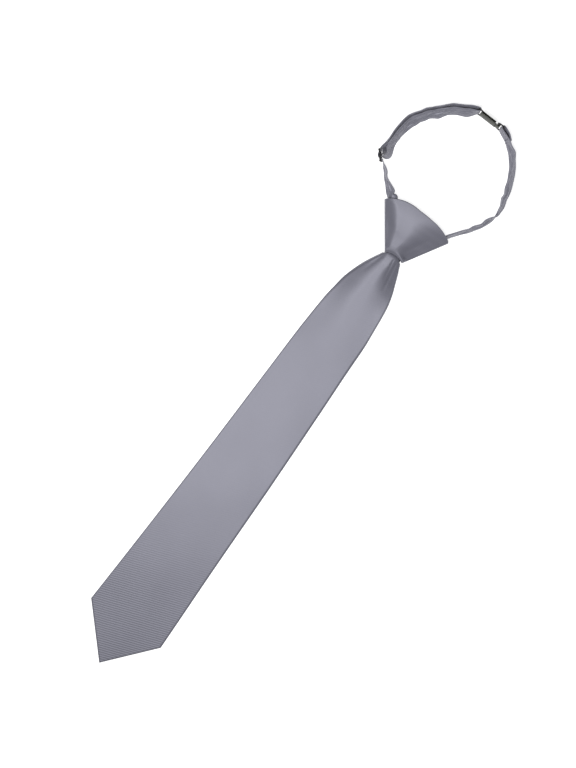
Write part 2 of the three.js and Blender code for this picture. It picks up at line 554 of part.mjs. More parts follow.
// A closed loop of round wire in the local XZ plane, a rectangle with round corners.
function wireLoop(x0, x1, z0, z1) {
  const corners = [
    { x: x1 - WIRE_BEND, z: z1 - WIRE_BEND, from: 0 }, { x: x0 + WIRE_BEND, z: z1 - WIRE_BEND, from: 90 },
    { x: x0 + WIRE_BEND, z: z0 + WIRE_BEND, from: 180 }, { x: x1 - WIRE_BEND, z: z0 + WIRE_BEND, from: 270 },
  ];
  const rings = [];
  for (const corner of corners) {
    for (const step of [0, 45, 90]) {
      const out = degrees(corner.from + step);
      const ring = [];
      for (let k = 0; k < 8; k++) {
        const round = degrees(k * 45);
        const far = WIRE_BEND + (WIRE / 2) * Math.cos(round);
        ring.push(new THREE.Vector3(
          corner.x + far * Math.cos(out), (WIRE / 2) * Math.sin(round), corner.z + far * Math.sin(out)));
      }
      rings.push(ring);
    }
  }
  rings.push(rings[0]);
  return bodyOf(facesBetween(rings, { wrap: true }));
}

// A sheet bent along its length: a profile in the local XY plane carried up the local Z axis.
function bentSheet(profile, z0, z1) {
  const shape = new THREE.Shape(profile.map(([x, y]) => new THREE.Vector2(x, y)));
  return new THREE.ExtrudeGeometry(shape, { depth: z1 - z0, bevelEnabled: false }).translate(0, 0, z0);
}

// The clasp's plate: one strip folded over the eye wire, whose front ends in a narrow hook.
function claspHook() {
  const { long, tall, sheet } = CLASP;
  const { short, straight, lip, grip, weld } = PLATE_FOLD;
  const end = long / 2;
  const inside = WIRE / 2 - grip;
  const outside = inside + sheet;
  const fold = -end - straight - sheet;
  const plate = bentSheet([
    [-end - straight, -outside], [end, -outside], [end, -inside], [-end + lip, -inside],
    [-end + lip, inside], [end - short, inside], [end - short, outside], [-end - straight, outside],
    [fold, outside - sheet], [fold, sheet - outside],
  ], 0, tall);
  const mid = tall / 2;
  const turn = RING.near + WIRE / 2 + CLEAR; // where the hook turns back
  const over = RING.off + WIRE / 2 + CLEAR;
  const { tongue, root, tip, corner, outerCorner } = HOOK;
  const hook = bentSheet([
    [end - root, -outside], [turn + sheet - outerCorner, -outside], [turn + sheet, outerCorner - outside],
    [turn + sheet, over + corner], [turn + corner, over + sheet], [RING.near - tip, over + sheet],
    [RING.near - tip, over], [turn - corner, over], [turn, over - corner], [turn, -inside - weld],
    [end - root, -inside - weld],
  ], mid - tongue / 2, mid + tongue / 2);
  const eye = wireLoop(EYE.far, -end + corner, -LOOP_DROP.eye, EYE.tall - LOOP_DROP.eye);
  return joined([plate, hook, eye]);
}

// The slider: two rails and three round bars across them, with two slots between the bars.
function sliderFrame() {
  const { long, tall, thick } = SLIDER;
  const rails = [SLIDER_RAIL / 2, tall - SLIDER_RAIL / 2].map((z) =>
    new THREE.BoxGeometry(long, thick, SLIDER_RAIL).translate(long / 2, 0, z));
  const rod = new THREE.CylinderGeometry(BAR / 2, BAR / 2, tall - SLIDER_RAIL, 10).rotateX(Math.PI / 2);
  const bars = [BAR / 2, long / 2, long - BAR / 2].map((x) => rod.clone().translate(x, 0, tall / 2));
  return joined([...rails, ...bars]);
}

const colours = { cloth: 0x9d9da6, strap: 0x8e8e98, gunmetal: 0x5a5c58, black: 0x1c1c1e };
function finish(name, geometry, colour, roughness, metalness) {
  const material = new THREE.MeshStandardMaterial({ color: colour, roughness, metalness });
  const mesh = new THREE.Mesh(geometry, material);
  mesh.name = name;
  tie.add(mesh);
  return mesh;
}

finish('blade', blade(), colours.cloth, 0.55, 0);
finish('knot', knot(), colours.cloth, 0.5, 0);
finish('strap_left', leftStrap(), colours.strap, 0.6, 0);
finish('strap_right', rightStrap(), colours.strap, 0.6, 0);

const slider = finish('slider', sliderFrame(), colours.black, 0.4, 0.8);
slider.rotation.set(degrees(-SLIDER.lean), 0, degrees(SLIDER.heading), 'ZYX');
slider.position.set(SLIDER.x, SLIDER.y, SLIDER_LOW);

const ringWire = wireLoop(RING.near, RING.far, -LOOP_DROP.ring, RING.tall - LOOP_DROP.ring);
for (const metal of [
  finish('clasp_hook', claspHook(), colours.gunmetal, 0.35, 0.9),
  finish('clasp_ring', ringWire.translate(0, RING.off, 0), colours.black, 0.4, 0.8),
]) {
  metal.rotation.set(degrees(-CLASP.lean), 0, degrees(CLASP.heading), 'ZYX');
  metal.position.set(CLASP.x, CLASP.y, CLASP_LIFT);
}

// The ground is Z = 0 under the middle of the whole tie.
const root = new THREE.Group();
root.add(tie);
const extent = new THREE.Box3().setFromObject(root, true);
const centre = extent.getCenter(new THREE.Vector3());
tie.position.set(-centre.x, -centre.y, -extent.min.z);

export default root;
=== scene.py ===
"""A pre-tied necktie of grey ribbed satin. It lies on its back with its neck loop clasped shut.

Tables are in millimetres from the blade's tip: X to the right seen from the front, Y up the blade and Z
off the floor.
"""
import math

import bmesh
import bpy
import numpy as np
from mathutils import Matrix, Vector


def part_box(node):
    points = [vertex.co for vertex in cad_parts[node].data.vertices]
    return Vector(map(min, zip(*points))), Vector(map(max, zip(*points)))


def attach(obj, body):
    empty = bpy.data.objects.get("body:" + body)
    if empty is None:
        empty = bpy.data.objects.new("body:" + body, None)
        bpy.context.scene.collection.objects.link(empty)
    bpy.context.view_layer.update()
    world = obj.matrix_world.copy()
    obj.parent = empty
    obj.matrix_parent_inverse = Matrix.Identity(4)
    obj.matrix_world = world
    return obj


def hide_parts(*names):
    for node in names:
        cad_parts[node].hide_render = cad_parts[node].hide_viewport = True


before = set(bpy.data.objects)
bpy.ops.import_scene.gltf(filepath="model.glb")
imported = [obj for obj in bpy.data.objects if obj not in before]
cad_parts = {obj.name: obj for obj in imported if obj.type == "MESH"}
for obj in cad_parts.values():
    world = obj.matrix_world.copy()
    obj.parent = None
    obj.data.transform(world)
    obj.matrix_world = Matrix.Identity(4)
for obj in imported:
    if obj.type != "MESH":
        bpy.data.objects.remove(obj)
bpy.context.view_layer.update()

# The view: straight down from high above, with the blade's tip at the lower left and the neck loop at the
# upper right.
MM = 0.001
BLADE_LEFT = -41.4
VIEW_TURN = math.radians(35.6)
VIEW_HEIGHT = 8.0
VIEW_TALL = 0.7169
VIEW_CENTRE = (-8.15, 314.1)
FILM = 36.0

blade_low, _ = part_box("blade")
tie_origin = np.array([blade_low.x - BLADE_LEFT * MM, blade_low.y, 0.0])


def placed(x, y, z):
    """Points in millimetres from the blade's tip, as metres in the row's frame, with x, y and z on the last
    axis."""
    return np.stack(np.broadcast_arrays(x, y, z), axis=-1) * MM + tie_origin


lens = bpy.data.cameras.new("view")
lens.sensor_fit = "AUTO"
lens.sensor_width = FILM
lens.lens = FILM * VIEW_HEIGHT / VIEW_TALL
lens.clip_start = 0.1
lens.clip_end = 50
eye = bpy.data.objects.new("view", lens)
eye.location = Vector(placed(*VIEW_CENTRE, 0)) + Vector((0, 0, VIEW_HEIGHT))
eye.rotation_euler = (0, 0, VIEW_TURN)
bpy.context.scene.collection.objects.link(eye)
bpy.context.scene.camera = eye

# The blade: satin folded over a thick interlining, with soft rolled edges and a mitred point, gathered to a
# waist that goes up into the knot. Behind, its two flaps meet in a slip-stitched seam, and the tip is lined
# with set-in cloth.
TIP_CORNER = 44.8
TIP_ROUND = 1.2
BLADE_END = 494.0
HEM = 12.0
HEM_RISE = 3.9
SET_IN_TOP = 90.6
SET_IN_SIDE = 54.0
SET_IN_DEEP = 0.7
SET_IN_SLOPE = 0.8

# How low the sides lie under the front, and how much wider than in the table the left side rolls at the
# waist and the right side rolls below it.
BLADE_FLAT = 3.4
SIDE_LEVEL = 1.7
SIDE_RISE = 0.18
LEAST_ABOVE = 0.3
SOFT_LIMIT = 0.6
LEFT_WAIST_ROLL = 2.0
RIGHT_ROLL = 1.9
ROLL_TURNS = np.radians([0, 8, 16, 26, 36, 46, 56, 66, 78, 90])

# A start and a length up the blade: where its rows turn from a V to an arc, where it gathers to the waist and
# where its sides rise. The folds and the seam end below the knot.
ROWS_TURN = (60, 80)
GATHERS = (365, 40)
SIDES_RISE = (445, 20)
FOLDS_END = 469
SEAM_END = 468
ENDS_OVER = 3
SOFT_HIGH = 0.14
LAP_HIGH = 0.55
LAP_FADE = 7.0
SEAM_HIGH = 0.5
SEAM_HALF = 0.5

# Where the long sides run.
SIDES = (
    # y, left, right
    (44.8, -41.4, 38.6),
    (54.8, -40.9, 38.4),
    (134, -37.4, 36.4),
    (224, -34.1, 34.8),
    (313, -31.7, 32.3),
    (358, -30.5, 30.8),
    (381, -29.4, 30.3),
    (403, -27.9, 28.5),
    (414, -26.4, 27.5),
    (425.7, -24.6, 26.0),
    (436.9, -21.4, 23.3),
    (448.1, -17.1, 19.2),
    (456.5, -12.9, 16.0),
    (462.4, -9.6, 13.4),
    (465.4, -7.9, 12.2),
    (466.6, -5.0, 10.4),
    (471, -5.0, 10.4),
    (494, -6.0, 10.0),
)
# How the section swells up the blade: the seam's x, the lowest level and the crest, and how wide the edge
# rolls in front and behind.
SECTIONS = (
    # y, centre, back, front, front roll, back roll
    (0, 0, 0, 3.4, 1.0, 2.4),
    (313, 0, 0, 3.4, 1.0, 2.4),
    (358, 0, 0, 3.6, 1.1, 2.5),
    (381, 0, 0, 4.0, 1.1, 2.7),
    (403, 0.3, 0, 5.0, 1.2, 3.0),
    (415, 0.6, 0, 6.0, 1.3, 3.4),
    (427, 0.8, 0, 7.2, 1.4, 3.9),
    (439, 1.0, 0, 8.6, 1.5, 4.6),
    (451, 1.2, 0, 10.2, 1.6, 5.2),
    (460, 1.8, 0.2, 11.4, 1.7, 5.6),
    (466, 2.2, 0.8, 11.6, 1.7, 5.4),
    (469, 2.6, 1.5, 11.0, 1.7, 4.9),
    (470.1, 2.7, 2.1, 9.9, 1.7, 4.2),
    (474, 2.7, 2.1, 9.9, 1.7, 4.2),
    (494, 2.0, 2.3, 9.6, 1.7, 3.6),
)
# How the gathered front falls from its crest to both sides.
BLADE_FALLS = (
    # y, left shoulder, left width, left drop, right shoulder, right width, right drop
    (0, 6, 44, 0.0, -6, 40, 1.0),
    (110, 6, 44, 0.0, -6, 40, 0.8),
    (230, 6, 44, 0.0, 0, 36, 0.2),
    (350, 2, 36, 0.5, 8, 20, 0.0),
    (395, 0, 34, 2.3, 8, 18, 0.1),
    (415, -4, 28, 3.5, 4, 18, 0.5),
    (430, -3, 28, 4.6, 2, 26, 2.2),
    (440, -3, 25, 4.6, 1, 24, 4.0),
    (450, -2, 20, 3.8, 1, 20, 5.4),
    (458, -1, 16, 3.0, 2, 18, 5.4),
    (466, -2, 9, 2.4, 3, 14, 4.4),
)
# The small folds of the front: each runs from one point to another and fades towards its far end.
BLADE_FOLDS = (
    # x0, y0, x1, y1, high, wide
    (8.5, 463, 13, 437, -0.35, 1.3),
    (4.6, 465, 7.5, 446, -0.25, 1.0),
    (-6.5, 462, -13, 441, -0.25, 1.6),
)


def smooth_through(at, knots, values):
    """A curve through the values that never overshoots: cubic pieces whose slope at each knot is the
    harmonic mean of its neighbours' slopes, and level where the values turn."""
    knots, values = np.asarray(knots, float), np.asarray(values, float)
    step = np.diff(knots)
    rise = np.diff(values) / step
    same = rise[:-1] * rise[1:] > 0
    total = np.where(same, rise[:-1] + rise[1:], 1.0)
    slope = np.concatenate([[rise[0]], np.where(same, 2 * rise[:-1] * rise[1:] / total, 0.0), [rise[-1]]])
    at = np.clip(at, knots[0], knots[-1])
    k = np.clip(np.searchsorted(knots, at) - 1, 0, len(step) - 1)
    t = (at - knots[k]) / step[k]
    a = (1 + 2 * t) * (1 - t) ** 2 * values[k] + t * t * (3 - 2 * t) * values[k + 1]
    return a + step[k] * t * (1 - t) * ((1 - t) * slope[k] - t * slope[k + 1])


def step_up(x, start, width):
    """0 before start, 1 past start + width, with a smooth S between."""
    t = np.clip((x - start) / width, 0, 1)
    return t * t * (3 - 2 * t)


def relief(x, y, folds):
    """The height that the folds add: a bell across each fold's line, which falls to a fifth at its far
    end."""
    height = np.zeros(np.broadcast(x, y).shape)
    for x0, y0, x1, y1, high, wide in folds:
        run = np.array([x1 - x0, y1 - y0])
        along = np.clip(((x - x0) * run[0] + (y - y0) * run[1]) / (run @ run), 0, 1)
        off = np.hypot(x - x0 - run[0] * along, y - y0 - run[1] * along) / wide
        height = height + high * (1 - 0.8 * along**2) * np.exp(-off * off)
    return height


def row_values(table, at):
    """All other columns of a table, where its first column reaches the given places."""
    columns = np.array(table, float).T
    return [smooth_through(at, columns[0], column) for column in columns[1:]]


def fall(x, y, falls):
    """How far a front lies below its crest: an S-shaped slope from a shoulder outwards, on each side."""
    left, left_wide, left_drop, right, right_wide, right_drop = row_values(falls, y)
    return left_drop * step_up(left - x, 0, left_wide) + right_drop * step_up(x - right, 0, right_wide)


def grid_faces(rows, columns, wrap_rows=False, wrap_columns=False):
    """The four corners of each face between neighbouring rows and columns of a grid of numbered points."""
    r = np.arange(rows if wrap_rows else rows - 1)[:, None]
    c = np.arange(columns if wrap_columns else columns - 1)[None, :]
    next_r, next_c = (r + 1) % rows, (c + 1) % columns
    corners = np.broadcast_arrays(
        r * columns + c, r * columns + next_c, next_r * columns + next_c, next_r * columns + c)
    return np.stack(corners, axis=-1).reshape(-1, 4)


def smooth_piece(name, mesh):
    """An object of the scene with this mesh, all its faces smooth."""
    mesh.polygons.foreach_set("use_smooth", np.ones(len(mesh.polygons), bool))
    piece = bpy.data.objects.new(name, mesh)
    bpy.context.scene.collection.objects.link(piece)
    return piece


def surface(name, points, uv, wrap_rows=False, wrap_columns=False):
    """A mesh of four-cornered faces between neighbouring rows and columns of a grid of points. Corners that
    meet become one, and the faces are turned to enclose a positive volume."""
    corners = grid_faces(*points.shape[:2], wrap_rows, wrap_columns)
    flat = points.reshape(-1, 3)
    a, b, c, d = np.moveaxis(flat[corners] - flat.mean(0), 1, 0)
    if np.sum(a * (np.cross(b, c) + np.cross(c, d))) < 0:
        corners = corners[:, ::-1]
    mesh = bpy.data.meshes.new(name)
    mesh.from_pydata(flat.tolist(), [], corners.tolist())
    layer = mesh.uv_layers.new(name="cloth")
    layer.data.foreach_set("uv", uv.reshape(-1, 2)[corners.ravel()].astype(np.float32).ravel())
    shell = bmesh.new()
    shell.from_mesh(mesh)
    bmesh.ops.remove_doubles(shell, verts=shell.verts, dist=2e-6)
    bmesh.ops.dissolve_degenerate(shell, edges=shell.edges, dist=1e-7)
    shell.to_mesh(mesh)
    shell.free()
    return smooth_piece(name, mesh)


def dress(piece, material, cad_node):
    """A piece's material, its body, and the node that it stands for."""
    piece.data.materials.append(material)
    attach(piece, "root")
    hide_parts(cad_node)


def node(tree, kind, inputs=None, **settings):
    """One shader node, with its settings, and its inputs by name or number: another node's output or a
    value."""
    made = tree.nodes.new("ShaderNode" + kind)
    for key, value in settings.items():
        setattr(made, key, value)
    for key, value in (inputs or {}).items():
        if isinstance(value, bpy.types.NodeSocket):
            tree.links.new(value, made.inputs[key])
        else:
            made.inputs[key].default_value = value
    return made


def maths(tree, operation, a, b):
    """The result of one Math node with two numbers."""
    return node(tree, "Math", {0: a, 1: b}, operation=operation).outputs[0]


def new_material(name, colour, roughness, metallic=0.0, **sockets):
    """A material with one Principled shader, its plain values set on the shader's own sockets."""
    material = bpy.data.materials.new(name)
    material.use_nodes = True
    material.node_tree.nodes.clear()
    tree = material.node_tree
    shader = node(tree, "BsdfPrincipled", {"Base Color": (*colour, 1), "Roughness": roughness,
                                           "Metallic": metallic, **sockets})
    node(tree, "OutputMaterial", {"Surface": shader.outputs[0]})
    return material, tree, shader


def ribbed_satin(name, colour, rib_pitch, rib_turn, rib_high, thread_high, pressed=None):
    """Satin with slanting ribs. The ribs are a sine across their direction, bent a little by noise; finer
    threads cross them. u and v of the map are metres across and along the cloth; between the two places
    pressed, along it, the ribs are pressed flat and the cloth grows lighter."""
    material, tree, shader = new_material(
        name, colour, 0.47, **{"Specular IOR Level": 0.8, "Specular Tint": (0.88, 0.88, 1, 1),
                              "Sheen Weight": 0.05, "Sheen Roughness": 0.45})
    cloth = node(tree, "UVMap", uv_map="cloth").outputs["UV"]
    turned = node(tree, "Mapping", {"Vector": cloth, "Rotation": (0, 0, -rib_turn)}).outputs[0]
    split = node(tree, "SeparateXYZ", {0: turned})
    wander = node(tree, "TexNoise", {"Vector": cloth, "Scale": 70.0, "Detail": 2.0}).outputs["Fac"]
    phase = maths(tree, "MULTIPLY_ADD", split.outputs["Y"], 2 * math.pi / rib_pitch)
    tree.links.new(maths(tree, "MULTIPLY", wander, 1.6), phase.node.inputs[2])
    rib = maths(tree, "SINE", phase, 0.0)
    warp, weft = (
        maths(tree, "SINE", maths(tree, "MULTIPLY", split.outputs[axis], 2 * math.pi / THREAD_PITCH), 0.0)
        for axis in "XY")
    weave = maths(tree, "MULTIPLY", maths(tree, "MULTIPLY", warp, weft), thread_high)
    ribs = maths(tree, "MULTIPLY", rib, rib_high)
    if pressed:
        v = node(tree, "SeparateXYZ", {0: cloth}).outputs["Y"]
        flattened, shine = (
            node(tree, "MapRange", {"Value": v, "From Min": pressed[0], "From Max": pressed[1],
                                    "To Min": start, "To Max": end},
                 interpolation_type="SMOOTHSTEP").outputs["Result"]
            for start, end in ((1.0, 0.08), (0.64, 0.8)))
        ribs = maths(tree, "MULTIPLY", ribs, flattened)
        tree.links.new(shine, shader.inputs["Specular IOR Level"])
    height = maths(tree, "ADD", ribs, weave)
    bump = node(tree, "Bump", {"Strength": 1.0, "Distance": 1.0, "Height": height})
    tree.links.new(bump.outputs[0], shader.inputs["Normal"])
    # The base colour follows the ribs. It is a little darker along their valleys, which is painted shade, and
    # cloudy noise gives the cloth's own uneven tone.
    cloudy = node(tree, "TexNoise", {"Vector": cloth, "Scale": 24.0, "Detail": 3.0}).outputs["Fac"]
    rib_shade_and_tone = maths(tree, "ADD", maths(tree, "MULTIPLY", rib, 0.16), cloudy)
    dark = tuple(0.93 * c for c in colour)
    light = tuple(1.07 * c for c in colour)
    mix = node(tree, "Mix", {0: rib_shade_and_tone, 6: (*dark, 1), 7: (*light, 1)}, data_type="RGBA")
    tree.links.new(mix.outputs[2], shader.inputs["Base Color"])
    return material


# The satin, in metres: its colour, its ribs and threads, and between which places up the blade it is
# pressed.
THREAD_PITCH = 0.00042
THREAD_HIGH = 0.000004
PRESSED = (0.03, 0.22)
GREY_SATIN = (0.108, 0.108, 0.134)
RIB_PITCH = 0.00205
RIB_TURN = math.radians(19.6)

# Rows cross the blade: each starts at the mid line at its own y and reaches the sides further up, as a V
# that opens from the point's own shape to a straight line.
blade_mid = np.concatenate([
    [0, 0.05, 0.15, 0.3, 0.6, 1.0, 1.5, 2.2, 3.2, 4.2], np.arange(5.6, 11, 1.4),
    np.linspace(11.4, 12.6, 5), np.arange(14, 89, 2.0), np.linspace(89.8, 91.4, 5),
    np.arange(93, 396, 2.0), np.arange(396, 470, 1.0), np.arange(470, BLADE_END, 2.5), [BLADE_END, BLADE_END],
])
blade_edge = smooth_through(
    blade_mid, [0, 2.6, 12.4, 90, 134, 403, 427, 451, 466, 470.1, 494],
    [44.8, 46.8, 48.7, 54, 134, 403, 425.7, 448.1, 462.4, 466.6, 494])
roll_share = np.concatenate([np.cos(ROLL_TURNS), np.zeros(24)])
flat_share = np.concatenate([np.ones(len(ROLL_TURNS)), np.linspace(0.97, 0.04, 23), [0.0]])
seam_share = np.concatenate([
    np.ones(len(ROLL_TURNS)), np.linspace(0.95, 0.12, 18), [0.09, 0.06, 0.035, 0.02, 0.01, 0]])
sides_y, sides_left, sides_right = np.array(SIDES).T
behind_side = np.hypot(TIP_CORNER, BLADE_LEFT)


def blade_points(flats, side, is_front):
    """Points of one quarter of the section, for all rows at once. x goes from the seam out to the side by
    flat shares of the level part and cosines of the rolled edge; y runs from the mid line's to the edge's
    by a power of the way out; z swells from the edge by the roll's sine, and at the point by the same
    quarter circle. Where the front is gathered its sides stay low, and its fall eases to a least height
    above them by a hyperbola. Slow slanting sines make the front uneven. Behind are the set-in tip, sunk
    between two slanting lines, and the seam's bell with a lap that fades from it. The last row is the end."""
    edge_y = blade_edge[:, None]
    mid_y = blade_mid[:, None]
    reach_x = smooth_through(blade_edge, sides_y, sides_left if side < 0 else sides_right)[:, None]
    centre, _, _, front_roll, back_roll = (column[:, None] for column in row_values(SECTIONS, blade_mid))
    at_waist = step_up(mid_y, *GATHERS)
    wider = 1 + (LEFT_WAIST_ROLL - 1) * at_waist if side < 0 else RIGHT_ROLL - (RIGHT_ROLL - 1) * at_waist
    roll = front_roll * wider if is_front else back_roll
    reach = np.abs(reach_x - centre)
    out = flats[None, :] * (reach - roll) + roll_share[None, :] * roll
    share = out / reach
    y = mid_y + (edge_y - mid_y) * share ** (1 + step_up(mid_y, *ROWS_TURN))
    x = centre + side * out
    _, low, high, _, _ = row_values(SECTIONS, y)
    tip_roll = TIP_ROUND if is_front else 2 * TIP_ROUND
    from_point = (y - TIP_CORNER * share) * -BLADE_LEFT / behind_side / tip_roll
    swell = np.sqrt(1 - roll_share[None, :] ** 2) * np.sqrt(1 - (1 - np.clip(from_point, 0, 1)) ** 2)
    swell[-1] = 0
    lowered = SIDE_LEVEL + SIDE_RISE * (high - low - BLADE_FLAT)
    middle = low + lowered + ((high - low) / 2 - lowered) * step_up(y, *SIDES_RISE)
    if is_front:
        soft = np.sin(x / 9 + y / 23) * np.sin(y / 31 - 1.3) + 0.6 * np.sin(y / 14 - x / 17)
        folds = relief(x, y, BLADE_FOLDS) * step_up(-y, -FOLDS_END, ENDS_OVER) + SOFT_HIGH * soft
        above = high - fall(x, y, BLADE_FALLS) - middle - LEAST_ABOVE
        above = LEAST_ABOVE + (above + np.sqrt(above**2 + SOFT_LIMIT**2)) / 2
        z = middle + (above + folds) * swell
    else:
        hem_y = HEM + (TIP_CORNER + HEM_RISE - HEM) * share
        top_y = SET_IN_TOP - (SET_IN_TOP - SET_IN_SIDE) * share
        inside = step_up(y - hem_y, 0, SET_IN_SLOPE) * step_up(top_y - y, 0, SET_IN_SLOPE)
        inside = inside * step_up(-share, -0.97, 0.03)
        lap = LAP_HIGH * np.exp(-out / LAP_FADE) if side > 0 else 0
        ridge = lap + SEAM_HIGH * np.exp(-((out / SEAM_HALF) ** 2))
        seam = step_up(y, SET_IN_TOP, 2) * ridge * step_up(-y, -SEAM_END, ENDS_OVER)
        z = middle - (middle - low) * swell + swell * (SET_IN_DEEP * inside + seam)
    return np.stack([x, y, z], axis=-1)


# Once round the section: behind from the seam to the left side, over the front to the right side, and back.
quarters = [
    blade_points(seam_share, -1, False)[:, ::-1],
    blade_points(flat_share, -1, True),
    blade_points(flat_share, 1, True)[:, ::-1],
    blade_points(seam_share, 1, False),
]
blade_grid = np.concatenate(quarters, axis=1)
around = np.cumsum(np.linalg.norm(np.diff(blade_grid[..., [0, 2]], axis=1), axis=-1), axis=1)
around = np.concatenate([np.zeros((len(blade_mid), 1)), around], axis=1)
front_middle = quarters[0].shape[1] + quarters[1].shape[1] - 1
blade_uv = np.stack([around - around[:, front_middle:front_middle + 1], blade_grid[..., 1]], axis=-1) * MM
blade = surface("tie_blade", placed(*np.moveaxis(blade_grid, -1, 0)), blade_uv)
blade_satin = ribbed_satin(
    "grey_ribbed_satin", GREY_SATIN, RIB_PITCH, RIB_TURN, 0.00004, THREAD_HIGH, PRESSED)
dress(blade, blade_satin, "blade")

# The knot: one wrap of the same satin over its interlining, in a ring that is open at the mouth below and
# at the top. Pulled tight at the mouth, it fans out in a groove and a ridge on the left and a wide slack
# face on the right.

# The ring is drawn round an apex: its mouth and its rim are reaches from there, its sides are angles.
KNOT_APEX = (3.6, 452.3)
KNOT_MOUTH = 18.2
KNOT_RIM_MEAN = 66.5
KNOT_BACK_TOP = 61.0
KNOT_WALL = 1.6
RIM_ROUND = 0.5
KNOT_LEFT = math.radians(-35.8)
KNOT_RIGHT = math.radians(31.4)
KNOT_CROWN = 1.2
WIDEST = 0.55
LEAST_ROLL = 0.4
FALL_BEGINS = 0.12
FOLDS_BEGIN = 0.06
KNOT_ROWS = (
    # reach, depth, back roll
    (0, 13.2, 5.6),
    (0.02, 13.9, 5.9),
    (0.1, 15.1, 6.2),
    (0.18, 15.9, 6.3),
    (0.3, 17.1, 6.4),
    (0.42, 18.4, 6.4),
    (0.6, 20.0, 6.2),
    (0.78, 21.2, 5.8),
    (0.92, 21.6, 5.4),
    (1, 21.7, 5.0),
)
KNOT_RIM = (
    # angle, reach
    (-35.8, 67.4),
    (-29, 68.4),
    (-22.5, 68.3),
    (-12, 67.0),
    (-3, 65.2),
    (6, 64.9),
    (15, 65.5),
    (22, 65.8),
    (28, 65.9),
    (31.4, 65.2),
)
KNOT_FALLS = (
    # y, left shoulder, left width, left drop, right shoulder, right width, right drop
    (466, -3, 8, 2.0, -1, 18, 4.8),
    (472, -4, 7, 1.7, -1, 19, 5.3),
    (476, -5, 9, 2.0, -1, 21, 5.4),
    (485, -7.5, 13, 3.2, 1, 26, 5.7),
    (490, -9.5, 15, 4.0, 1, 31, 6.8),
    (495, -12.5, 17, 4.6, 1, 40, 8.2),
    (500, -15, 20, 4.8, 0, 50, 9.4),
    (505, -18.5, 22, 4.4, 0, 57, 9.4),
    (510, -24, 22, 3.4, 2, 58, 7.6),
    (518, -31, 24, 2.4, 6, 60, 4.5),
)
KNOT_FOLDS = (
    # x0, y0, x1, y1, high, wide
    (10, 480, 21, 499, -0.3, 2.4),
    (-9, 490, -14, 507, 0.1, 2.4),
)

# One turn round the section: front columns from the left side to the right, then back under.
FRONT_ROLL = 1.7
KNOT_RIB_TURN = math.radians(75)
knot_flat = np.linspace(-1, 1, 77)
quarter = np.radians(np.linspace(0, 80, 9))
back_flat = np.linspace(1, -1, 25)
one_roll, short_roll = np.ones(len(quarter)), np.ones(len(quarter) - 1)
turn_flat = np.concatenate([-one_roll, knot_flat, one_roll, short_roll, back_flat, -short_roll])
turn_angle = np.concatenate([
    quarter, np.full(len(knot_flat), math.pi / 2), quarter[::-1],
    quarter[1:], np.full(len(back_flat), math.pi / 2), quarter[:0:-1]])
turn_front = (np.arange(len(turn_flat)) < len(knot_flat) + 2 * len(quarter)).astype(float)


def knot_points(share, past, inset):
    """Points of the knot's rings, for all rows at once. Each row is a slice of a ring round the apex at its
    share of the way from mouth to rim, plus what its rolled lip goes past it; the section is nearly level
    in front and behind and rolled at both sides, and inset moves it into the cloth."""
    share, past, inset = share[:, None], past[:, None], inset[:, None]
    flat, turn, is_front = turn_flat[None, :], turn_angle[None, :], turn_front[None, :]
    depth, back_roll = row_values(KNOT_ROWS, share)
    roll = np.maximum(np.where(is_front > 0, FRONT_ROLL, back_roll) - inset, LEAST_ROLL)
    side = depth * WIDEST
    swell = np.sin(turn)
    mean = KNOT_MOUTH + (KNOT_RIM_MEAN - KNOT_MOUTH) * share
    width = mean * (KNOT_RIGHT - KNOT_LEFT) / 2 - inset
    out = np.where(np.abs(flat) == 1, roll * np.cos(turn), 0)
    sideways = flat * (width - roll) + np.sign(flat) * out
    angle = (KNOT_LEFT + KNOT_RIGHT) / 2 + sideways / mean
    rim = row_values(KNOT_RIM, np.degrees(angle))[0] - KNOT_WALL / 2
    rim = rim + (KNOT_BACK_TOP - rim) * swell * (1 - is_front)
    reach = KNOT_MOUTH + (rim - KNOT_MOUTH) * share + past
    x = KNOT_APEX[0] + reach * np.sin(angle)
    y = KNOT_APEX[1] + reach * np.cos(angle)
    shape = KNOT_CROWN * -((sideways / width) ** 2) - fall(x, y, KNOT_FALLS) * step_up(share, 0, FALL_BEGINS)
    shape = shape + relief(x, y, KNOT_FOLDS) * step_up(share, 0, FOLDS_BEGIN)
    front = side + (depth - inset - side + shape) * swell
    back = side - (side - inset) * swell
    return x, y, np.where(is_front > 0, front, back), sideways, reach


walk = np.linspace(0, 1, 64)
lip = np.radians(np.linspace(0, 180, 9))[1:-1]
half_wall = KNOT_WALL / 2
level = np.zeros(len(walk))
knot_share = np.concatenate([walk, np.ones(len(lip)), walk[::-1], np.zeros(len(lip))])
knot_past = np.concatenate([level, RIM_ROUND * half_wall * np.sin(lip), level, -half_wall * np.sin(lip)])
knot_inset = np.concatenate([
    level, half_wall * (1 - np.cos(lip)), level + KNOT_WALL, half_wall * (1 + np.cos(lip))])
knot_x, knot_y, knot_z, knot_across, knot_reach = knot_points(knot_share, knot_past, knot_inset)
knot_uv = np.stack([knot_across * MM, knot_reach * MM], axis=-1)
knot = surface("tie_knot", placed(knot_x, knot_y, knot_z), knot_uv, wrap_rows=True, wrap_columns=True)
knot_satin = ribbed_satin("knot_satin", GREY_SATIN, RIB_PITCH, KNOT_RIB_TURN, 0.000008, THREAD_HIGH)
dress(knot, knot_satin, "knot")

# The neck strap: a flat tube of the same satin, 12 mm wide, that stands on its edge. Its long half is sewn
# in the knot, woven through the slider, taken round the clasp's eye and back to the slider's middle bar.

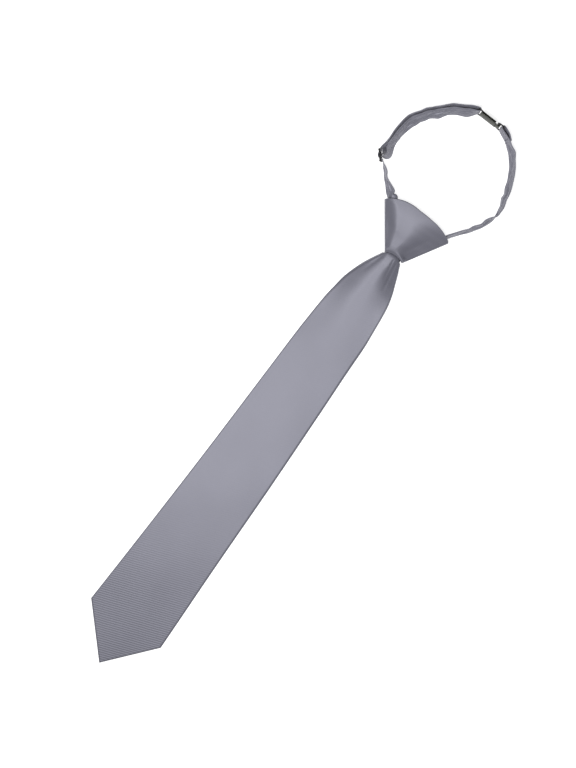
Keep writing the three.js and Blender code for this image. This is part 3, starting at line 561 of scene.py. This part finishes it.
# The band and its wrinkles, the centre of the loop, and how the slider and the clasp stand in it.
STRAP_WIDTH = 12.0
STRAP_HALF = 0.5
STRAP_STEP = 0.7
EDGE_FADE = 1.6
WRINKLE_HIGH = 0.14
BUCKLE_HIGH = 0.55
ROUND_BAR = 1.65
LOOP = (-2.45, 562.76)
SLIDER_AT = (-58.0, 533.7)
SLIDER_HEADING = math.radians(130.4)
SLIDER_LIFT = 1.85
THIN_HALF = 0.32
EDGE_ROLL = 1.35
CLASP_AT = (0.2, 622.2)
CLASP_HEADING = math.radians(-2.5)
CLASP_LEAN = math.radians(18)
CLASP_STRAP_LIFT = 1.8
EYE_BAR = -12.7
RING_FAR = 15.9
RING_OFF = 0.5
FREE_NORMAL = (0.81, 0.585)
RIGHT_NORMAL = (0.86, -0.5)
FOOT_LIFT = 0.3

LEFT_FREE = (
    # x, y, lean to the loop's inside, lift, bulge
    (-20.6, 495.3, 1.0, 2.4, 0),
    (-26.6, 502.6, 1.6, 2.6, 0),
    (-32.2, 508.6, 3.6, 3.4, 0.2),
    (-36.4, 511.6, 6.6, 2.6, 0.5),
    (-39.0, 514.0, 8.2, 2.3, 0.8),
    (-42.2, 517.9, 5.6, 1.6, 0.6),
    (-44.8, 520.6, 3.8, 1.2, 0.2),
    (-47.8, 523.8, 2.5, 1.0, 0),
    (-50.6, 527.4, 2.8, 1.2, -0.3),
    (-53.6, 530.6, 1.9, 1.6, -0.2),
)
# In the slider's own frame: along it from the knot's end, and across it to the loop's inside.
WEAVE = (
    # along, across, lean along, lean across
    (-1.2, 1.55, 0, -0.2),
    (0.7, 1.3, 0, -1.0),
    (2.1, 1.0, 0, -1.0),
    (2.8, 0.0, 0, -1.0),
    (3.5, -1.1, 0, -1.0),
    (4.6, -1.75, 0, -1.0),
    (6.0, -1.95, 0, -1.0),
    (7.4, -1.75, 0, -1.0),
    (8.5, -1.1, 0, -1.0),
    (9.2, 0.0, 0, -1.0),
    (9.9, 1.0, 0.2, -1.0),
    (11.4, 1.4, 1.0, -1.6),
)
SEWN_END = (
    (10.2, 9.0, 3.6, -6.6),
    (8.2, 6.9, 3.2, -5.0),
    (6.8, 4.6, 2.4, -3.2),
    (6.5, 2.4, 0.8, -1.4),
    (7.1, 0.6, 0, -1.0),
    (7.1, -0.5, 0, -1.0),
    (6.7, -0.95, 0, -1.0),
    (6.0, -1.05, 0, -1.0),
    (5.3, -0.95, 0, -1.0),
    (4.9, -0.5, 0, -1.0),
    (4.7, 0.6, 0, -1.0),
    (3.7, 2.0, 1.6, -1.0),
    (2.4, 3.6, 3.2, -1.0),
    (1.9, 5.6, 4.4, -1.8),
    (2.4, 7.8, 5.0, -3.2),
    (4.0, 9.6, 4.6, -4.2),
    (6.4, 10.8, 4.4, -5.2),
    (9.2, 11.8, 4.2, -6.2),
)
SEWN_TO_BAND = (
    # angle, foot, upper edge
    (191, 54.9, 61.4),
    (186, 54.7, 60.8),
    (181, 54.0, 60.0),
)
FEET_APART = 3.6
OUTER_BULGE = -0.4
OUTER_DRAWN_IN = 0.55
INNER_FOOT_IN = 0.8
INNER_EDGE_IN = 0.45
INNER_BULGE = -0.3
DOUBLED = (
    # angle round the loop, inner foot, outer upper edge, upper edges apart
    (190, 56.1, 64.7, 1.9),
    (185, 55.6, 63.8, 2.2),
    (179, 54.4, 63.9, 2.5),
    (172, 53.5, 64.2, 2.8),
    (165, 53.0, 64.8, 3.0),
    (160, 52.3, 64.9, 3.0),
    (155, 52.6, 63.8, 2.8),
    (150, 51.8, 62.9, 2.7),
    (145, 52.1, 63.2, 2.9),
    (140, 50.9, 62.4, 2.8),
    (136, 49.9, 62.4, 2.8),
    (131, 51.0, 62.4, 2.8),
    (126, 52.5, 63.1, 3.1),
    (121, 52.9, 64.2, 3.3),
    (116, 53.2, 64.2, 3.2),
    (111, 53.1, 64.8, 3.4),
    (106, 53.8, 66.3, 3.6),
)
SINGLE = (
    # angle, foot, upper edge, bulge to the outside
    (-41, 60.4, 57.4, 0.7),
    (-35, 60.6, 57.5, 1.0),
    (-30, 60.8, 56.8, 1.1),
    (-23, 61.4, 58.4, 1.0),
    (-17, 62.0, 57.6, 0.9),
    (-12, 62.1, 59.1, 0.5),
    (-7, 60.7, 62.3, 0.3),
    (-3, 59.5, 62.4, 0),
    (2, 58.4, 62.3, -0.2),
    (9, 55.9, 60.9, -0.3),
    (13, 56.6, 61.1, 0),
    (19, 55.4, 61.4, 0.3),
    (26, 56.1, 61.4, 0),
    (33, 56.5, 62.2, -0.3),
    (39, 57.3, 62.8, 0),
    (45, 57.6, 63.4, 0.3),
    (51, 58.4, 65.0, 0),
    (57, 58.9, 63.9, -0.2),
    (62, 59.7, 64.2, 0),
)
RIGHT_IN_KNOT = (
    # x, y, lean to the loop's outside, lift, bulge
    (27.0, 501.0, -0.6, 2.3, 0),
    (30.0, 505.6, -1.4, 2.4, 0.2),
    (33.4, 510.6, -2.6, 2.3, 0.5),
    (37.4, 515.9, -2.8, 1.4, 0.6),
)
FOLDED_BACK = (
    # angle, foot, upper edge
    (71, 62.7, 67.4),
    (66, 62.3, 66.8),
    (61, 61.4, 65.3),
)


def beside(origin, heading, along, across):
    """A place on the floor: along a heading from the origin, and across it to the left."""
    c, s = math.cos(heading), math.sin(heading)
    return origin[0] + along * c - across * s, origin[1] + along * s + across * c


def loop_station(angle, foot, upper, bulge=0.0):
    """A station of the strap by its angle round the loop: foot and upper edge as radii."""
    c, s = math.cos(math.radians(angle)), math.sin(math.radians(angle))
    lean = upper - foot
    return LOOP[0] + foot * c, LOOP[1] + foot * s, FOOT_LIFT, lean * c, lean * s, bulge, STRAP_HALF


def slider_station(along, across, lean_along, lean_across):
    """A station in the slider's frame, where across counts to the loop's inside, on the heading's right."""
    x, y = beside(SLIDER_AT, SLIDER_HEADING, along, -across)
    lean_x, lean_y = beside((0, 0), SLIDER_HEADING, lean_along, -lean_across)
    return x, y, SLIDER_LIFT, lean_x, lean_y, 0.0, THIN_HALF


def turn_round(along, across, start, end):
    """Stations of the strap's turn round a bar of the clasp, on a small circle."""
    bar = beside(CLASP_AT, CLASP_HEADING, along, across)
    out = beside((0, 0), CLASP_HEADING, 0, 1)
    lean = STRAP_WIDTH * math.sin(CLASP_LEAN)
    stations = []
    for angle in np.radians(np.linspace(start, end, 5)):
        x, y = beside(bar, angle, ROUND_BAR, 0)
        stations.append((x, y, CLASP_STRAP_LIFT, out[0] * lean, out[1] * lean, 0.0, STRAP_HALF))
    return stations


def curve_through(points, steps):
    """A smooth line through points: in each piece a cubic whose end slopes weigh the neighbouring pieces by
    the square root of their lengths, with the ends carried on straight."""
    points = np.asarray(points, float)
    padded_points = np.concatenate([[2 * points[0] - points[1]], points, [2 * points[-1] - points[-2]]])
    p0, p1, p2, p3 = (padded_points[i:len(padded_points) - 3 + i] for i in range(4))
    pairs = ((p0, p1), (p1, p2), (p2, p3))
    d0, d1, d2 = (np.sqrt(np.linalg.norm(b - a, axis=1))[:, None] + 1e-9 for a, b in pairs)
    m1 = ((p1 - p0) / d0 - (p2 - p0) / (d0 + d1) + (p2 - p1) / d1) * d1
    m2 = ((p2 - p1) / d1 - (p3 - p1) / (d1 + d2) + (p3 - p2) / d2) * d1
    t = np.linspace(0, 1, steps, endpoint=False)[None, :, None]
    p1, p2, m1, m2 = (a[:, None, :] for a in (p1, p2, m1, m2))
    line = (2 * t**3 - 3 * t**2 + 1) * p1 + (t**3 - 2 * t**2 + t) * m1
    line = line + (3 * t**2 - 2 * t**3) * p2 + (t**3 - t**2) * m2
    return np.concatenate([line.reshape(-1, points.shape[1]), points[-1:]])


def strap(name, stations, seed, creases=()):
    """A band that stands on one edge along its stations: at each place a flat section with thicker rolled
    edges, from the foot up to the leaning upper edge, bulged sideways by a parabola. Lengthwise wrinkles
    are sines up the band whose phase drifts along it, buckles are sines along it whose height comes and
    goes, and both fade to the edges and where the band is thin. Each crease is a bell-shaped groove on a
    slanting line."""
    fine = curve_through(stations, 10)
    length = np.concatenate([[0], np.cumsum(np.linalg.norm(np.diff(fine[:, :3], axis=0), axis=1))])
    at = np.linspace(0, length[-1], int(length[-1] / STRAP_STEP))
    x, y, lift, lean_x, lean_y, bulge, half = (np.interp(at, length, column) for column in fine.T)
    foot = np.stack([x, y, lift], axis=-1)
    upward = np.stack([lean_x, lean_y, np.sqrt(STRAP_WIDTH**2 - lean_x**2 - lean_y**2)], axis=-1)
    tangent = np.gradient(foot, axis=0)
    tangent[:, 2] = 0
    normal = np.cross(tangent, upward)
    normal /= np.linalg.norm(normal, axis=1)[:, None]
    bend = np.radians(np.linspace(-90, 90, 9))
    round_edge = STRAP_HALF * EDGE_ROLL
    face = np.linspace(round_edge, STRAP_WIDTH - round_edge, 25)
    up = np.concatenate([face[:-1], STRAP_WIDTH - round_edge + round_edge * np.cos(bend), face[-2:0:-1],
                         round_edge - round_edge * np.cos(bend)])
    out = np.concatenate([-np.ones(len(face) - 1), np.sin(bend), np.ones(len(face) - 2), np.sin(-bend)])
    from_edge = np.minimum(up, STRAP_WIDTH - up) / EDGE_FADE
    out = out * (1 + (EDGE_ROLL - 1) * np.exp(-from_edge * from_edge))
    s, w = at[:, None], up[None, :]
    inner = np.sin(np.clip(w / STRAP_WIDTH, 0, 1) * math.pi)
    wrinkle = np.sin(w * 2.1 + 1.3 * np.sin(s / 11 + seed) + seed)
    wrinkle = wrinkle + 0.7 * np.sin(w * 3.7 - 1.7 * np.sin(s / 19) + 2 * seed)
    buckle = BUCKLE_HIGH * np.sin(s / 2.6 + 0.4 * w + seed) * np.sin(s / 9.3 + 2 * seed)
    shift = WRINKLE_HIGH * wrinkle * np.sign(out)[None, :] + buckle
    shift = shift * inner * (half[:, None] / STRAP_HALF) ** 2
    for start, end, low, high, deep, wide in creases:
        share = np.clip((s - start) / (end - start), 0, 1)
        off = (w - low - (high - low) * share) / wide
        shift = shift - deep * np.exp(-off * off) * np.sin(share * math.pi) ** 0.5
    share = w / STRAP_WIDTH
    sideways = out[None, :] * half[:, None] + shift + bulge[:, None] * 4 * share * (1 - share)
    spot = foot[:, None, :] + upward[:, None, :] * share[..., None] + normal[:, None, :] * sideways[..., None]
    around = np.concatenate([[0], np.cumsum(np.hypot(np.diff(up), np.diff(out)))])
    uv = np.stack(np.broadcast_arrays(around[None, :] * MM, s * MM), axis=-1)
    ends = [spot[i].mean(0)[None, None].repeat(len(up), 1) for i in (0, -1)]
    closed = np.concatenate([ends[0], spot, ends[1]])
    uv = np.concatenate([uv[:1], uv, uv[-1:]])
    return surface(name, placed(*np.moveaxis(closed, -1, 0)), uv, wrap_columns=True)


strap_satin = ribbed_satin(
    "strap_satin", (0.155, 0.155, 0.187), 0.0012, math.radians(8), 0.00001, THREAD_HIGH)
left_stations = [(x, y, lift, FREE_NORMAL[0] * lean, FREE_NORMAL[1] * lean, bulge, STRAP_HALF)
                 for x, y, lean, lift, bulge in LEFT_FREE]
left_stations += [slider_station(*row) for row in WEAVE]
left_stations += [loop_station(a, i + FEET_APART, o - OUTER_DRAWN_IN - STRAP_HALF * EDGE_ROLL, OUTER_BULGE)
                  for a, i, o, _ in DOUBLED]
left_stations += turn_round(EYE_BAR, 0, 110, -70)
left_stations += [loop_station(a, i + STRAP_HALF - INNER_FOOT_IN,
                               o - apart - STRAP_HALF - INNER_EDGE_IN, INNER_BULGE)
                  for a, i, o, apart in DOUBLED[::-1]]
left_stations += [slider_station(*row) for row in SEWN_END]
left_stations += [loop_station(*row) for row in SEWN_TO_BAND]
LEFT_CREASES = (
    # from, to, height at each, deep, wide
    (4, 37, 5.2, 7.6, 1.7, 0.8),
    (32, 49, 3.5, 6.0, -1.2, 1.1),
    (70, 110, 3.0, 8.5, 0.5, 1.0),
    (100, 150, 8.0, 4.0, -0.6, 1.1),
    (196, 226, 9.0, 5.0, -0.7, 1.0),
    (214, 262, 7.5, 3.0, -0.7, 0.9),
    (182, 272, 10.2, 9.9, 0.4, 0.7),
)
strap_left = strap("neck_strap_left", left_stations, 0.4, LEFT_CREASES)
dress(strap_left, strap_satin, "strap_left")

# The strap's short half: the same flat tube of satin, sewn in the knot's right side, folded back through
# the clasp's ring and sewn down on itself.
right_stations = [(x, y, lift, RIGHT_NORMAL[0] * lean, RIGHT_NORMAL[1] * lean, bulge, STRAP_HALF)
                  for x, y, lean, lift, bulge in RIGHT_IN_KNOT]
right_stations += [loop_station(*row) for row in SINGLE]
right_stations += turn_round(RING_FAR, RING_OFF, -110, -290)
right_stations += [loop_station(*row) for row in FOLDED_BACK]
RIGHT_CREASES = (
    # from, to, height at each, deep, wide
    (18, 62, 6.0, 8.5, 1.6, 0.9),
    (60, 84, 3.0, 8.5, -1.1, 1.0),
    (78, 104, 9.0, 3.0, -1.0, 1.0),
    (100, 122, 3.0, 8.5, -1.0, 1.0),
    (116, 136, 9.0, 4.0, -0.8, 1.0),
)
strap_right = strap("neck_strap_right", right_stations, 2.1, RIGHT_CREASES)
dress(strap_right, strap_satin, "strap_right")

# The slider: a black enamelled frame of two oval rails that three round bars join, each with its two heads
# upset over the rails. It stands on one rail.
SLIDER_LONG = 12.0
SLIDER_TALL = 15.4
SLIDER_RAIL = 1.3
SLIDER_THICK = 1.7
SLIDER_LEAN = math.radians(5)
SLIDER_LOW = 0.1
RAIL_PAST = 0.3
BAR_HALF = 0.6
BAR_INSET = 0.1
HEAD_HALF = 1.15
HEAD_STEP = 0.2


def set_metal(points, at, heading, lean, lift):
    """Points of a metal piece from its own frame, along, across and up, to the tie's: leant about its
    length, turned to its heading and put in place."""
    along, across, up = np.moveaxis(points, -1, 0)
    c, s = math.cos(lean), math.sin(lean)
    x, y = beside(at, heading, along, across * c + up * s)
    return placed(x, y, up * c - across * s + lift)


def rod(path, side, wide, high, closed=False, turns=16):
    """Rings round a path: each is an ellipse, wide along the side direction and high across both it and the
    path."""
    path, side = np.asarray(path, float), np.asarray(side, float)
    if closed:
        tangent = np.roll(path, -1, axis=0) - np.roll(path, 1, axis=0)
    else:
        tangent = np.gradient(path, axis=0)
    rise = np.cross(tangent, side)
    rise /= np.linalg.norm(rise, axis=1)[:, None]
    turn = np.linspace(0, 2 * math.pi, turns, endpoint=False)[None, :, None]
    wide, high = (np.broadcast_to(size, len(path))[:, None, None] for size in (wide, high))
    return path[:, None, :] + wide * np.cos(turn) * side + high * np.sin(turn) * rise[:, None, :]


def round_ended(length, half):
    """Places along a rod and the share of its full section there, with quarter-round ends."""
    turn = np.radians(np.linspace(0, 90, 7))
    end = half * (1 - np.cos(turn))
    return np.concatenate([end, length - end[::-1]]), np.concatenate([np.sin(turn), np.sin(turn[::-1])])


def metal_piece(name, points, cad_node, material, set_down, closed=False):
    """A metal piece from its rings, carried to its place, with its material and what it stands for."""
    rows, columns = points.shape[:2]
    uv = np.stack(np.meshgrid(np.arange(columns) / columns, np.arange(rows) / rows), axis=-1)
    piece = surface(name, set_metal(points, *set_down), uv, wrap_rows=closed, wrap_columns=True)
    dress(piece, material, cad_node)


def plated_metal(name, colour, worn, roughness, grain, metallic=0.85):
    """Dark plated metal: its colour turns to the worn one in small blotches, and fine noise roughens it."""
    material, tree, shader = new_material(name, colour, roughness, metallic, **{"Specular IOR Level": 0.25})
    spot = node(tree, "TexCoord").outputs["Object"]
    blotch = node(tree, "TexNoise", {"Vector": spot, "Scale": grain, "Detail": 4.0}).outputs["Fac"]
    share = node(tree, "MapRange", {"Value": blotch, "From Min": 0.52, "From Max": 0.72}).outputs["Result"]
    mix = node(tree, "Mix", {0: share, 6: (*colour, 1), 7: (*worn, 1)}, data_type="RGBA")
    tree.links.new(mix.outputs[2], shader.inputs["Base Color"])
    fine = node(tree, "TexNoise", {"Vector": spot, "Scale": grain * 6, "Detail": 2.0}).outputs["Fac"]
    rough = node(tree, "MapRange", {"Value": fine, "To Min": roughness - 0.06, "To Max": roughness + 0.1})
    tree.links.new(rough.outputs["Result"], shader.inputs["Roughness"])
    bump = node(tree, "Bump", {"Strength": 0.3, "Distance": 0.00005, "Height": fine})
    tree.links.new(bump.outputs[0], shader.inputs["Normal"])
    return material


black_enamel = plated_metal("black_enamel", (0.007, 0.007, 0.008), (0.018, 0.018, 0.02), 0.36, 900.0, 0.0)
SLIDER_SET = (SLIDER_AT, SLIDER_HEADING, SLIDER_LEAN, SLIDER_LOW)
rail_at, rail_share = round_ended(SLIDER_LONG + 2 * RAIL_PAST, SLIDER_RAIL / 2)
for name, height in (
    ("slider_lower_rail", SLIDER_RAIL / 2),
    ("slider_upper_rail", SLIDER_TALL - SLIDER_RAIL / 2),
):
    rail_path = np.stack(
        [rail_at - RAIL_PAST, np.zeros_like(rail_at), np.full_like(rail_at, height)], axis=-1)
    rail = rod(rail_path, (0, 1, 0), SLIDER_THICK / 2 * rail_share, SLIDER_RAIL / 2 * rail_share)
    metal_piece(name, rail, "slider", black_enamel, SLIDER_SET)

head_turn = np.radians(np.linspace(-90, 55, 9))
head_up = SLIDER_RAIL / 2 + SLIDER_RAIL / 2 * np.sin(head_turn)
head_half = HEAD_HALF * np.cos(head_turn)
bar_up = np.concatenate([
    head_up, [SLIDER_RAIL + HEAD_STEP, SLIDER_TALL - SLIDER_RAIL - HEAD_STEP], SLIDER_TALL - head_up[::-1]])
bar_half = np.concatenate([head_half, [BAR_HALF, BAR_HALF], head_half[::-1]])
for name, along in (
    ("slider_bar_knot_end", BAR_HALF + BAR_INSET),
    ("slider_bar_middle", SLIDER_LONG / 2),
    ("slider_bar_clasp_end", SLIDER_LONG - BAR_HALF - BAR_INSET),
):
    bar_path = np.stack([np.full_like(bar_up, along), np.zeros_like(bar_up), bar_up], axis=-1)
    bar = rod(bar_path, (0, 1, 0), bar_half, bar_half)
    metal_piece(name, bar, "slider", black_enamel, SLIDER_SET)

# The clasp's hook half: a pressed gunmetal plate folded over the eye wire that the strap goes through. The
# plate's middle tongue runs on and turns back as the hook.
PLATE_LONG = 17.2
PLATE_TALL = 11.0
SHEET_HALF = 0.35
WIRE_HALF = 0.75
PLATE_OFF = 0.85
TONGUE = (1.4, 9.6)
RING_NEAR = 10.6
WIRE_BEND = 1.6
HOOK_GAP = 0.35
CLASP_LOW = 2.3
CLASP_SET = (CLASP_AT, CLASP_HEADING, CLASP_LEAN, CLASP_LOW)


def bent_path(corners, radius, closed=False):
    """A line with each corner rounded by a parabola that starts and ends one radius from it."""
    corners = np.asarray(corners, float)
    before, after = np.roll(corners, 1, axis=0), np.roll(corners, -1, axis=0)
    start = corners + (before - corners) * radius / np.linalg.norm(before - corners, axis=1)[:, None]
    end = corners + (after - corners) * radius / np.linalg.norm(after - corners, axis=1)[:, None]
    t = np.linspace(0, 1, 7)[None, :, None]
    bends = (1 - t) ** 2 * start[:, None] + 2 * t * (1 - t) * corners[:, None] + t**2 * end[:, None]
    if closed:
        return bends.reshape(-1, corners.shape[1])
    return np.concatenate([corners[:1], bends[1:-1].reshape(-1, corners.shape[1]), corners[-1:]])


def pressed_strip(path, low, high, half):
    """A strip of sheet carried along a path in plan: at each place a flat section from low to high whose
    edges are rounded, drawn in a little at both ends."""
    tangent = np.gradient(path, axis=0)
    normal = np.stack([-tangent[:, 1], tangent[:, 0]], axis=-1)
    normal /= np.linalg.norm(normal, axis=1)[:, None]
    bend = np.radians(np.linspace(-90, 90, 7))
    up = np.concatenate([high - half + half * np.cos(bend), low + half - half * np.cos(bend)])
    out = np.concatenate([np.sin(bend), -np.sin(bend)]) * half
    spot = path[:, None, :] + normal[:, None, :] * out[None, :, None]
    rings = np.concatenate([spot, np.broadcast_to(up[None, :, None], (*spot.shape[:2], 1))], axis=-1)
    first, last = rings[:1].mean(1, keepdims=True), rings[-1:].mean(1, keepdims=True)
    tips = [middle + (ring - middle) * 0.8 for ring, middle in ((rings[:1], first), (rings[-1:], last))]
    step = [0.12 * np.append(t / np.linalg.norm(t), 0) for t in (tangent[0], tangent[-1])]
    flat = [np.broadcast_to(middle, rings[:1].shape) for middle in (first, last)]
    return np.concatenate([flat[0] - step[0], tips[0] - step[0], rings, tips[1] + step[1], flat[1] + step[1]])


gunmetal = plated_metal("gunmetal", (0.05, 0.052, 0.044), (0.02, 0.021, 0.019), 0.42, 700.0)
half_plate = PLATE_LONG / 2
fold_at = 0.2 - half_plate
fold_turn = np.radians(np.linspace(90, 270, 13))
fold = np.stack([fold_at + PLATE_OFF * np.cos(fold_turn), PLATE_OFF * np.sin(fold_turn)], axis=-1)
flap = np.stack([np.linspace(half_plate - 1.6, 0.6 - half_plate, 8), np.full(8, PLATE_OFF)], axis=-1)
face = np.stack([np.linspace(0.6 - half_plate, half_plate, 8), np.full(8, -PLATE_OFF)], axis=-1)
plate = pressed_strip(np.concatenate([flap, fold, face]), 0, PLATE_TALL, SHEET_HALF)
metal_piece("clasp_plate", plate, "clasp_hook", gunmetal, CLASP_SET)

hook_turn = RING_NEAR + WIRE_HALF + HOOK_GAP + SHEET_HALF
hook_over = RING_OFF + WIRE_HALF + HOOK_GAP + SHEET_HALF
hook_corners = [(half_plate - 1, -PLATE_OFF), (hook_turn, -PLATE_OFF), (hook_turn, hook_over),
                (RING_NEAR - 1.4, hook_over)]
hook_path = bent_path(hook_corners, 0.9)
hook = pressed_strip(hook_path, *TONGUE, SHEET_HALF)
metal_piece("clasp_tongue", hook, "clasp_hook", gunmetal, CLASP_SET)


def wire_loop(near, far, low, high, across):
    """A closed rectangle of round wire that stands along the clasp, with round corners."""
    corners = [(far, across, high), (near, across, high), (near, across, low), (far, across, low)]
    path = bent_path(corners, WIRE_BEND, closed=True)
    return rod(path, (0, 1, 0), WIRE_HALF, WIRE_HALF, closed=True, turns=12)


eye_wire = wire_loop(EYE_BAR, fold_at, -1.5, PLATE_TALL + 1.7, 0)
metal_piece("clasp_eye", eye_wire, "clasp_hook", black_enamel, CLASP_SET, closed=True)

# The clasp's ring: a rectangle of black enamelled wire with round corners. The hook catches its near side
# and the strap's short half goes round its far side.
ring_wire = wire_loop(RING_NEAR, RING_FAR, -1.6, 13.4, RING_OFF)
metal_piece("clasp_wire_ring", ring_wire, "clasp_ring", black_enamel, CLASP_SET, closed=True)

# The lobe above the knot's rim beside the left strap: a small rounded fold of the same satin, taken to be
# the corner of the wrapped end.
TUCK_AT = (-28.8, 513.4, 17.2)
TUCK_HEADING = math.radians(-20)
TUCK_LONG = 3.4
TUCK_OUT = 3.0
TUCK_HIGH = 0.9
TUCK_FALL = 0.12
tuck_turn = np.radians(np.linspace(-90, 90, 21))
tuck_along = TUCK_LONG * np.sin(tuck_turn)
tuck_level = TUCK_AT[2] - TUCK_FALL * tuck_along
tuck_path = np.stack([*beside(TUCK_AT, TUCK_HEADING, tuck_along, 0), tuck_level], axis=-1)
tuck_side = (-math.sin(TUCK_HEADING), math.cos(TUCK_HEADING), 0)
tuck_share = np.cos(tuck_turn)
tuck = rod(tuck_path, tuck_side, TUCK_OUT * tuck_share, TUCK_HIGH * np.sqrt(tuck_share), turns=28)
tuck_uv = (tuck[..., :2] - tuck[..., :2].min()) * MM
knot_tuck = surface("tie_knot_tuck", placed(*np.moveaxis(tuck, -1, 0)), tuck_uv, wrap_columns=True)
dress(knot_tuck, knot_satin, "knot")

# The thread: slip stitches up the blade's back seam, with a bar tack across it at the bottom and at the
# top, rows that close the strap's two sewn ends, and a frayed end on the right strap.
THREAD_HALF = 0.1
THREAD_SIDES = 6
SLIP_PITCH = 6.5
SLIP_HALF = 0.9
SEAM_FROM = 98
SEAM_TO = 436
SEAM_LINE = ([0, 381, 451], [0, 0, 1.2])
TACKS_AT = (99.0, 434.0)
TACK_HALF = 2.4
IN_A_ROW = 9
ROW_ABOVE = 0.7
grey_thread, _, _ = new_material("grey_thread", (0.17, 0.17, 0.2), 0.6)


def stitches(name, starts, ends, rise, cad_node, slot_name):
    """Many short threads at once, each from its start to its end with its middle raised by the rise, as a
    parabola. Every thread is six-sided and thins at both ends."""
    starts, ends, rise = (a[:, None, :] for a in (starts, ends, np.broadcast_to(rise, starts.shape)))
    t = np.linspace(0, 1, 7)[None, :, None]
    path = starts + (ends - starts) * t + rise * 4 * t * (1 - t)
    tangent = np.gradient(path, axis=1)
    tangent /= np.linalg.norm(tangent, axis=2, keepdims=True)
    side = np.cross(tangent, rise + 1e-6)
    side /= np.linalg.norm(side, axis=2, keepdims=True)
    up = np.cross(side, tangent)
    turn = np.linspace(0, 2 * math.pi, THREAD_SIDES, endpoint=False)[None, None, :, None]
    thin = THREAD_HALF * np.sqrt(np.clip(1 - (2 * t[..., None] - 1) ** 8, 0, 1)) + 0.01
    points = path[:, :, None] + thin * (np.cos(turn) * side[:, :, None] + np.sin(turn) * up[:, :, None])
    count, rings, sides = points.shape[:3]
    step = (np.arange(count) * rings * sides)[:, None, None]
    bodies = (grid_faces(rings, sides, wrap_columns=True)[None] + step).reshape(-1, 4)
    first = np.arange(sides)
    end_rings = np.stack([first[::-1], first + (rings - 1) * sides])
    caps = (end_rings[None] + step).reshape(-1, sides)
    corners = placed(*np.moveaxis(points.reshape(-1, 3), -1, 0))
    mesh = bpy.data.meshes.new(name)
    mesh.from_pydata(corners.tolist(), [], bodies.tolist() + caps.tolist())
    shell = bmesh.new()
    shell.from_mesh(mesh)
    bmesh.ops.recalc_face_normals(shell, faces=shell.faces)
    shell.to_mesh(mesh)
    shell.free()
    dress(smooth_piece(name, mesh), grey_thread, cad_node)


slip_y = np.arange(SEAM_FROM, SEAM_TO, SLIP_PITCH)
slip_x = np.interp(slip_y, *SEAM_LINE) + 0.4 * np.sin(slip_y * 1.9)
tack_y = np.repeat(TACKS_AT, IN_A_ROW) + np.tile(np.linspace(-1.2, 1.2, IN_A_ROW), len(TACKS_AT))
tack_x = np.interp(tack_y, *SEAM_LINE)
seam_x = np.concatenate([slip_x - SLIP_HALF, tack_x - TACK_HALF])
seam_end = np.concatenate([slip_x + SLIP_HALF, tack_x + TACK_HALF])
seam_y = np.concatenate([slip_y, tack_y])
seam_z = np.repeat((0.42, 0.4), (len(slip_y), len(tack_y)))
stitches("back_seam_stitches", np.stack([seam_x, seam_y, seam_z], -1),
         np.stack([seam_end, seam_y + 0.5, seam_z], -1), (0, 0, -0.18), "blade", "tie_cloth")


def across_band(angle, foot, upper, shares, above):
    """Points on the inner face of a band that leans outwards, by their shares of the way from its foot to
    its upper edge, raised above its middle along the face's normal."""
    c, s = math.cos(math.radians(angle)), math.sin(math.radians(angle))
    lean = upper - foot
    rise = math.sqrt(STRAP_WIDTH**2 - lean**2)
    radius = foot + lean * shares - above * rise / STRAP_WIDTH
    level = FOOT_LIFT + rise * shares + above * lean / STRAP_WIDTH
    return np.stack([LOOP[0] + radius * c, LOOP[1] + radius * s, level], axis=-1)


row_shares = np.linspace(0.1, 0.9, IN_A_ROW)
left_row = [across_band(angle, 54.7, 60.8, row_shares, ROW_ABOVE) for angle in (186.7, 185.3)]
stitches("left_end_stitches", *left_row, (0.06, 0.0, 0.1), "strap_left", "strap_cloth")
right_row = [across_band(angle, 59.6, 64.2, row_shares, ROW_ABOVE) for angle in (62.8, 64.2)]
stitches("right_end_stitches", *right_row, (-0.03, -0.06, 0.1), "strap_right", "strap_cloth")
fray = np.arange(IN_A_ROW)
fray_root = across_band(61.2, 60.2, 64.4, 0.04 + 0.02 * fray, 0.3)
fray_tip = fray_root + np.stack([-0.9 - 0.3 * np.sin(2.1 * fray), -1.5 - 0.5 * np.cos(1.7 * fray),
                                 0.15 * np.sin(3.3 * fray)], axis=-1)
stitches("right_end_fray", fray_root, fray_tip, (0.3, -0.1, 0.2), "strap_right", "strap_cloth")

# The floor and the light: a wide soft lamp above the middle, a little to the upper left, over a white room.
bpy.ops.mesh.primitive_plane_add(size=12, location=(0, 0, -0.0004))
floor = bpy.context.object
floor.name = "floor"
floor_white, _, _ = new_material("floor_white", (0.7, 0.7, 0.7), 0.9,
                                 **{"Emission Color": (1, 1, 1, 1), "Emission Strength": 0.76})
floor.data.materials.append(floor_white)

scene = bpy.context.scene
scene.view_settings.view_transform = "Standard"
world = bpy.data.worlds.new("room")
world.use_nodes = True
world.node_tree.nodes["Background"].inputs["Color"].default_value = (1, 1, 1, 1)
world.node_tree.nodes["Background"].inputs["Strength"].default_value = 0.25
scene.world = world

lamp = bpy.data.lights.new("soft_lamp", "AREA")
lamp.shape = "RECTANGLE"
lamp.size = 0.3
lamp.size_y = 0.44
lamp.energy = 8.8
hung = bpy.data.objects.new("soft_lamp", lamp)
hung.location = (-0.07, -0.05, 0.95)
hung.rotation_euler = (0, 0, math.radians(-22))
scene.collection.objects.link(hung)
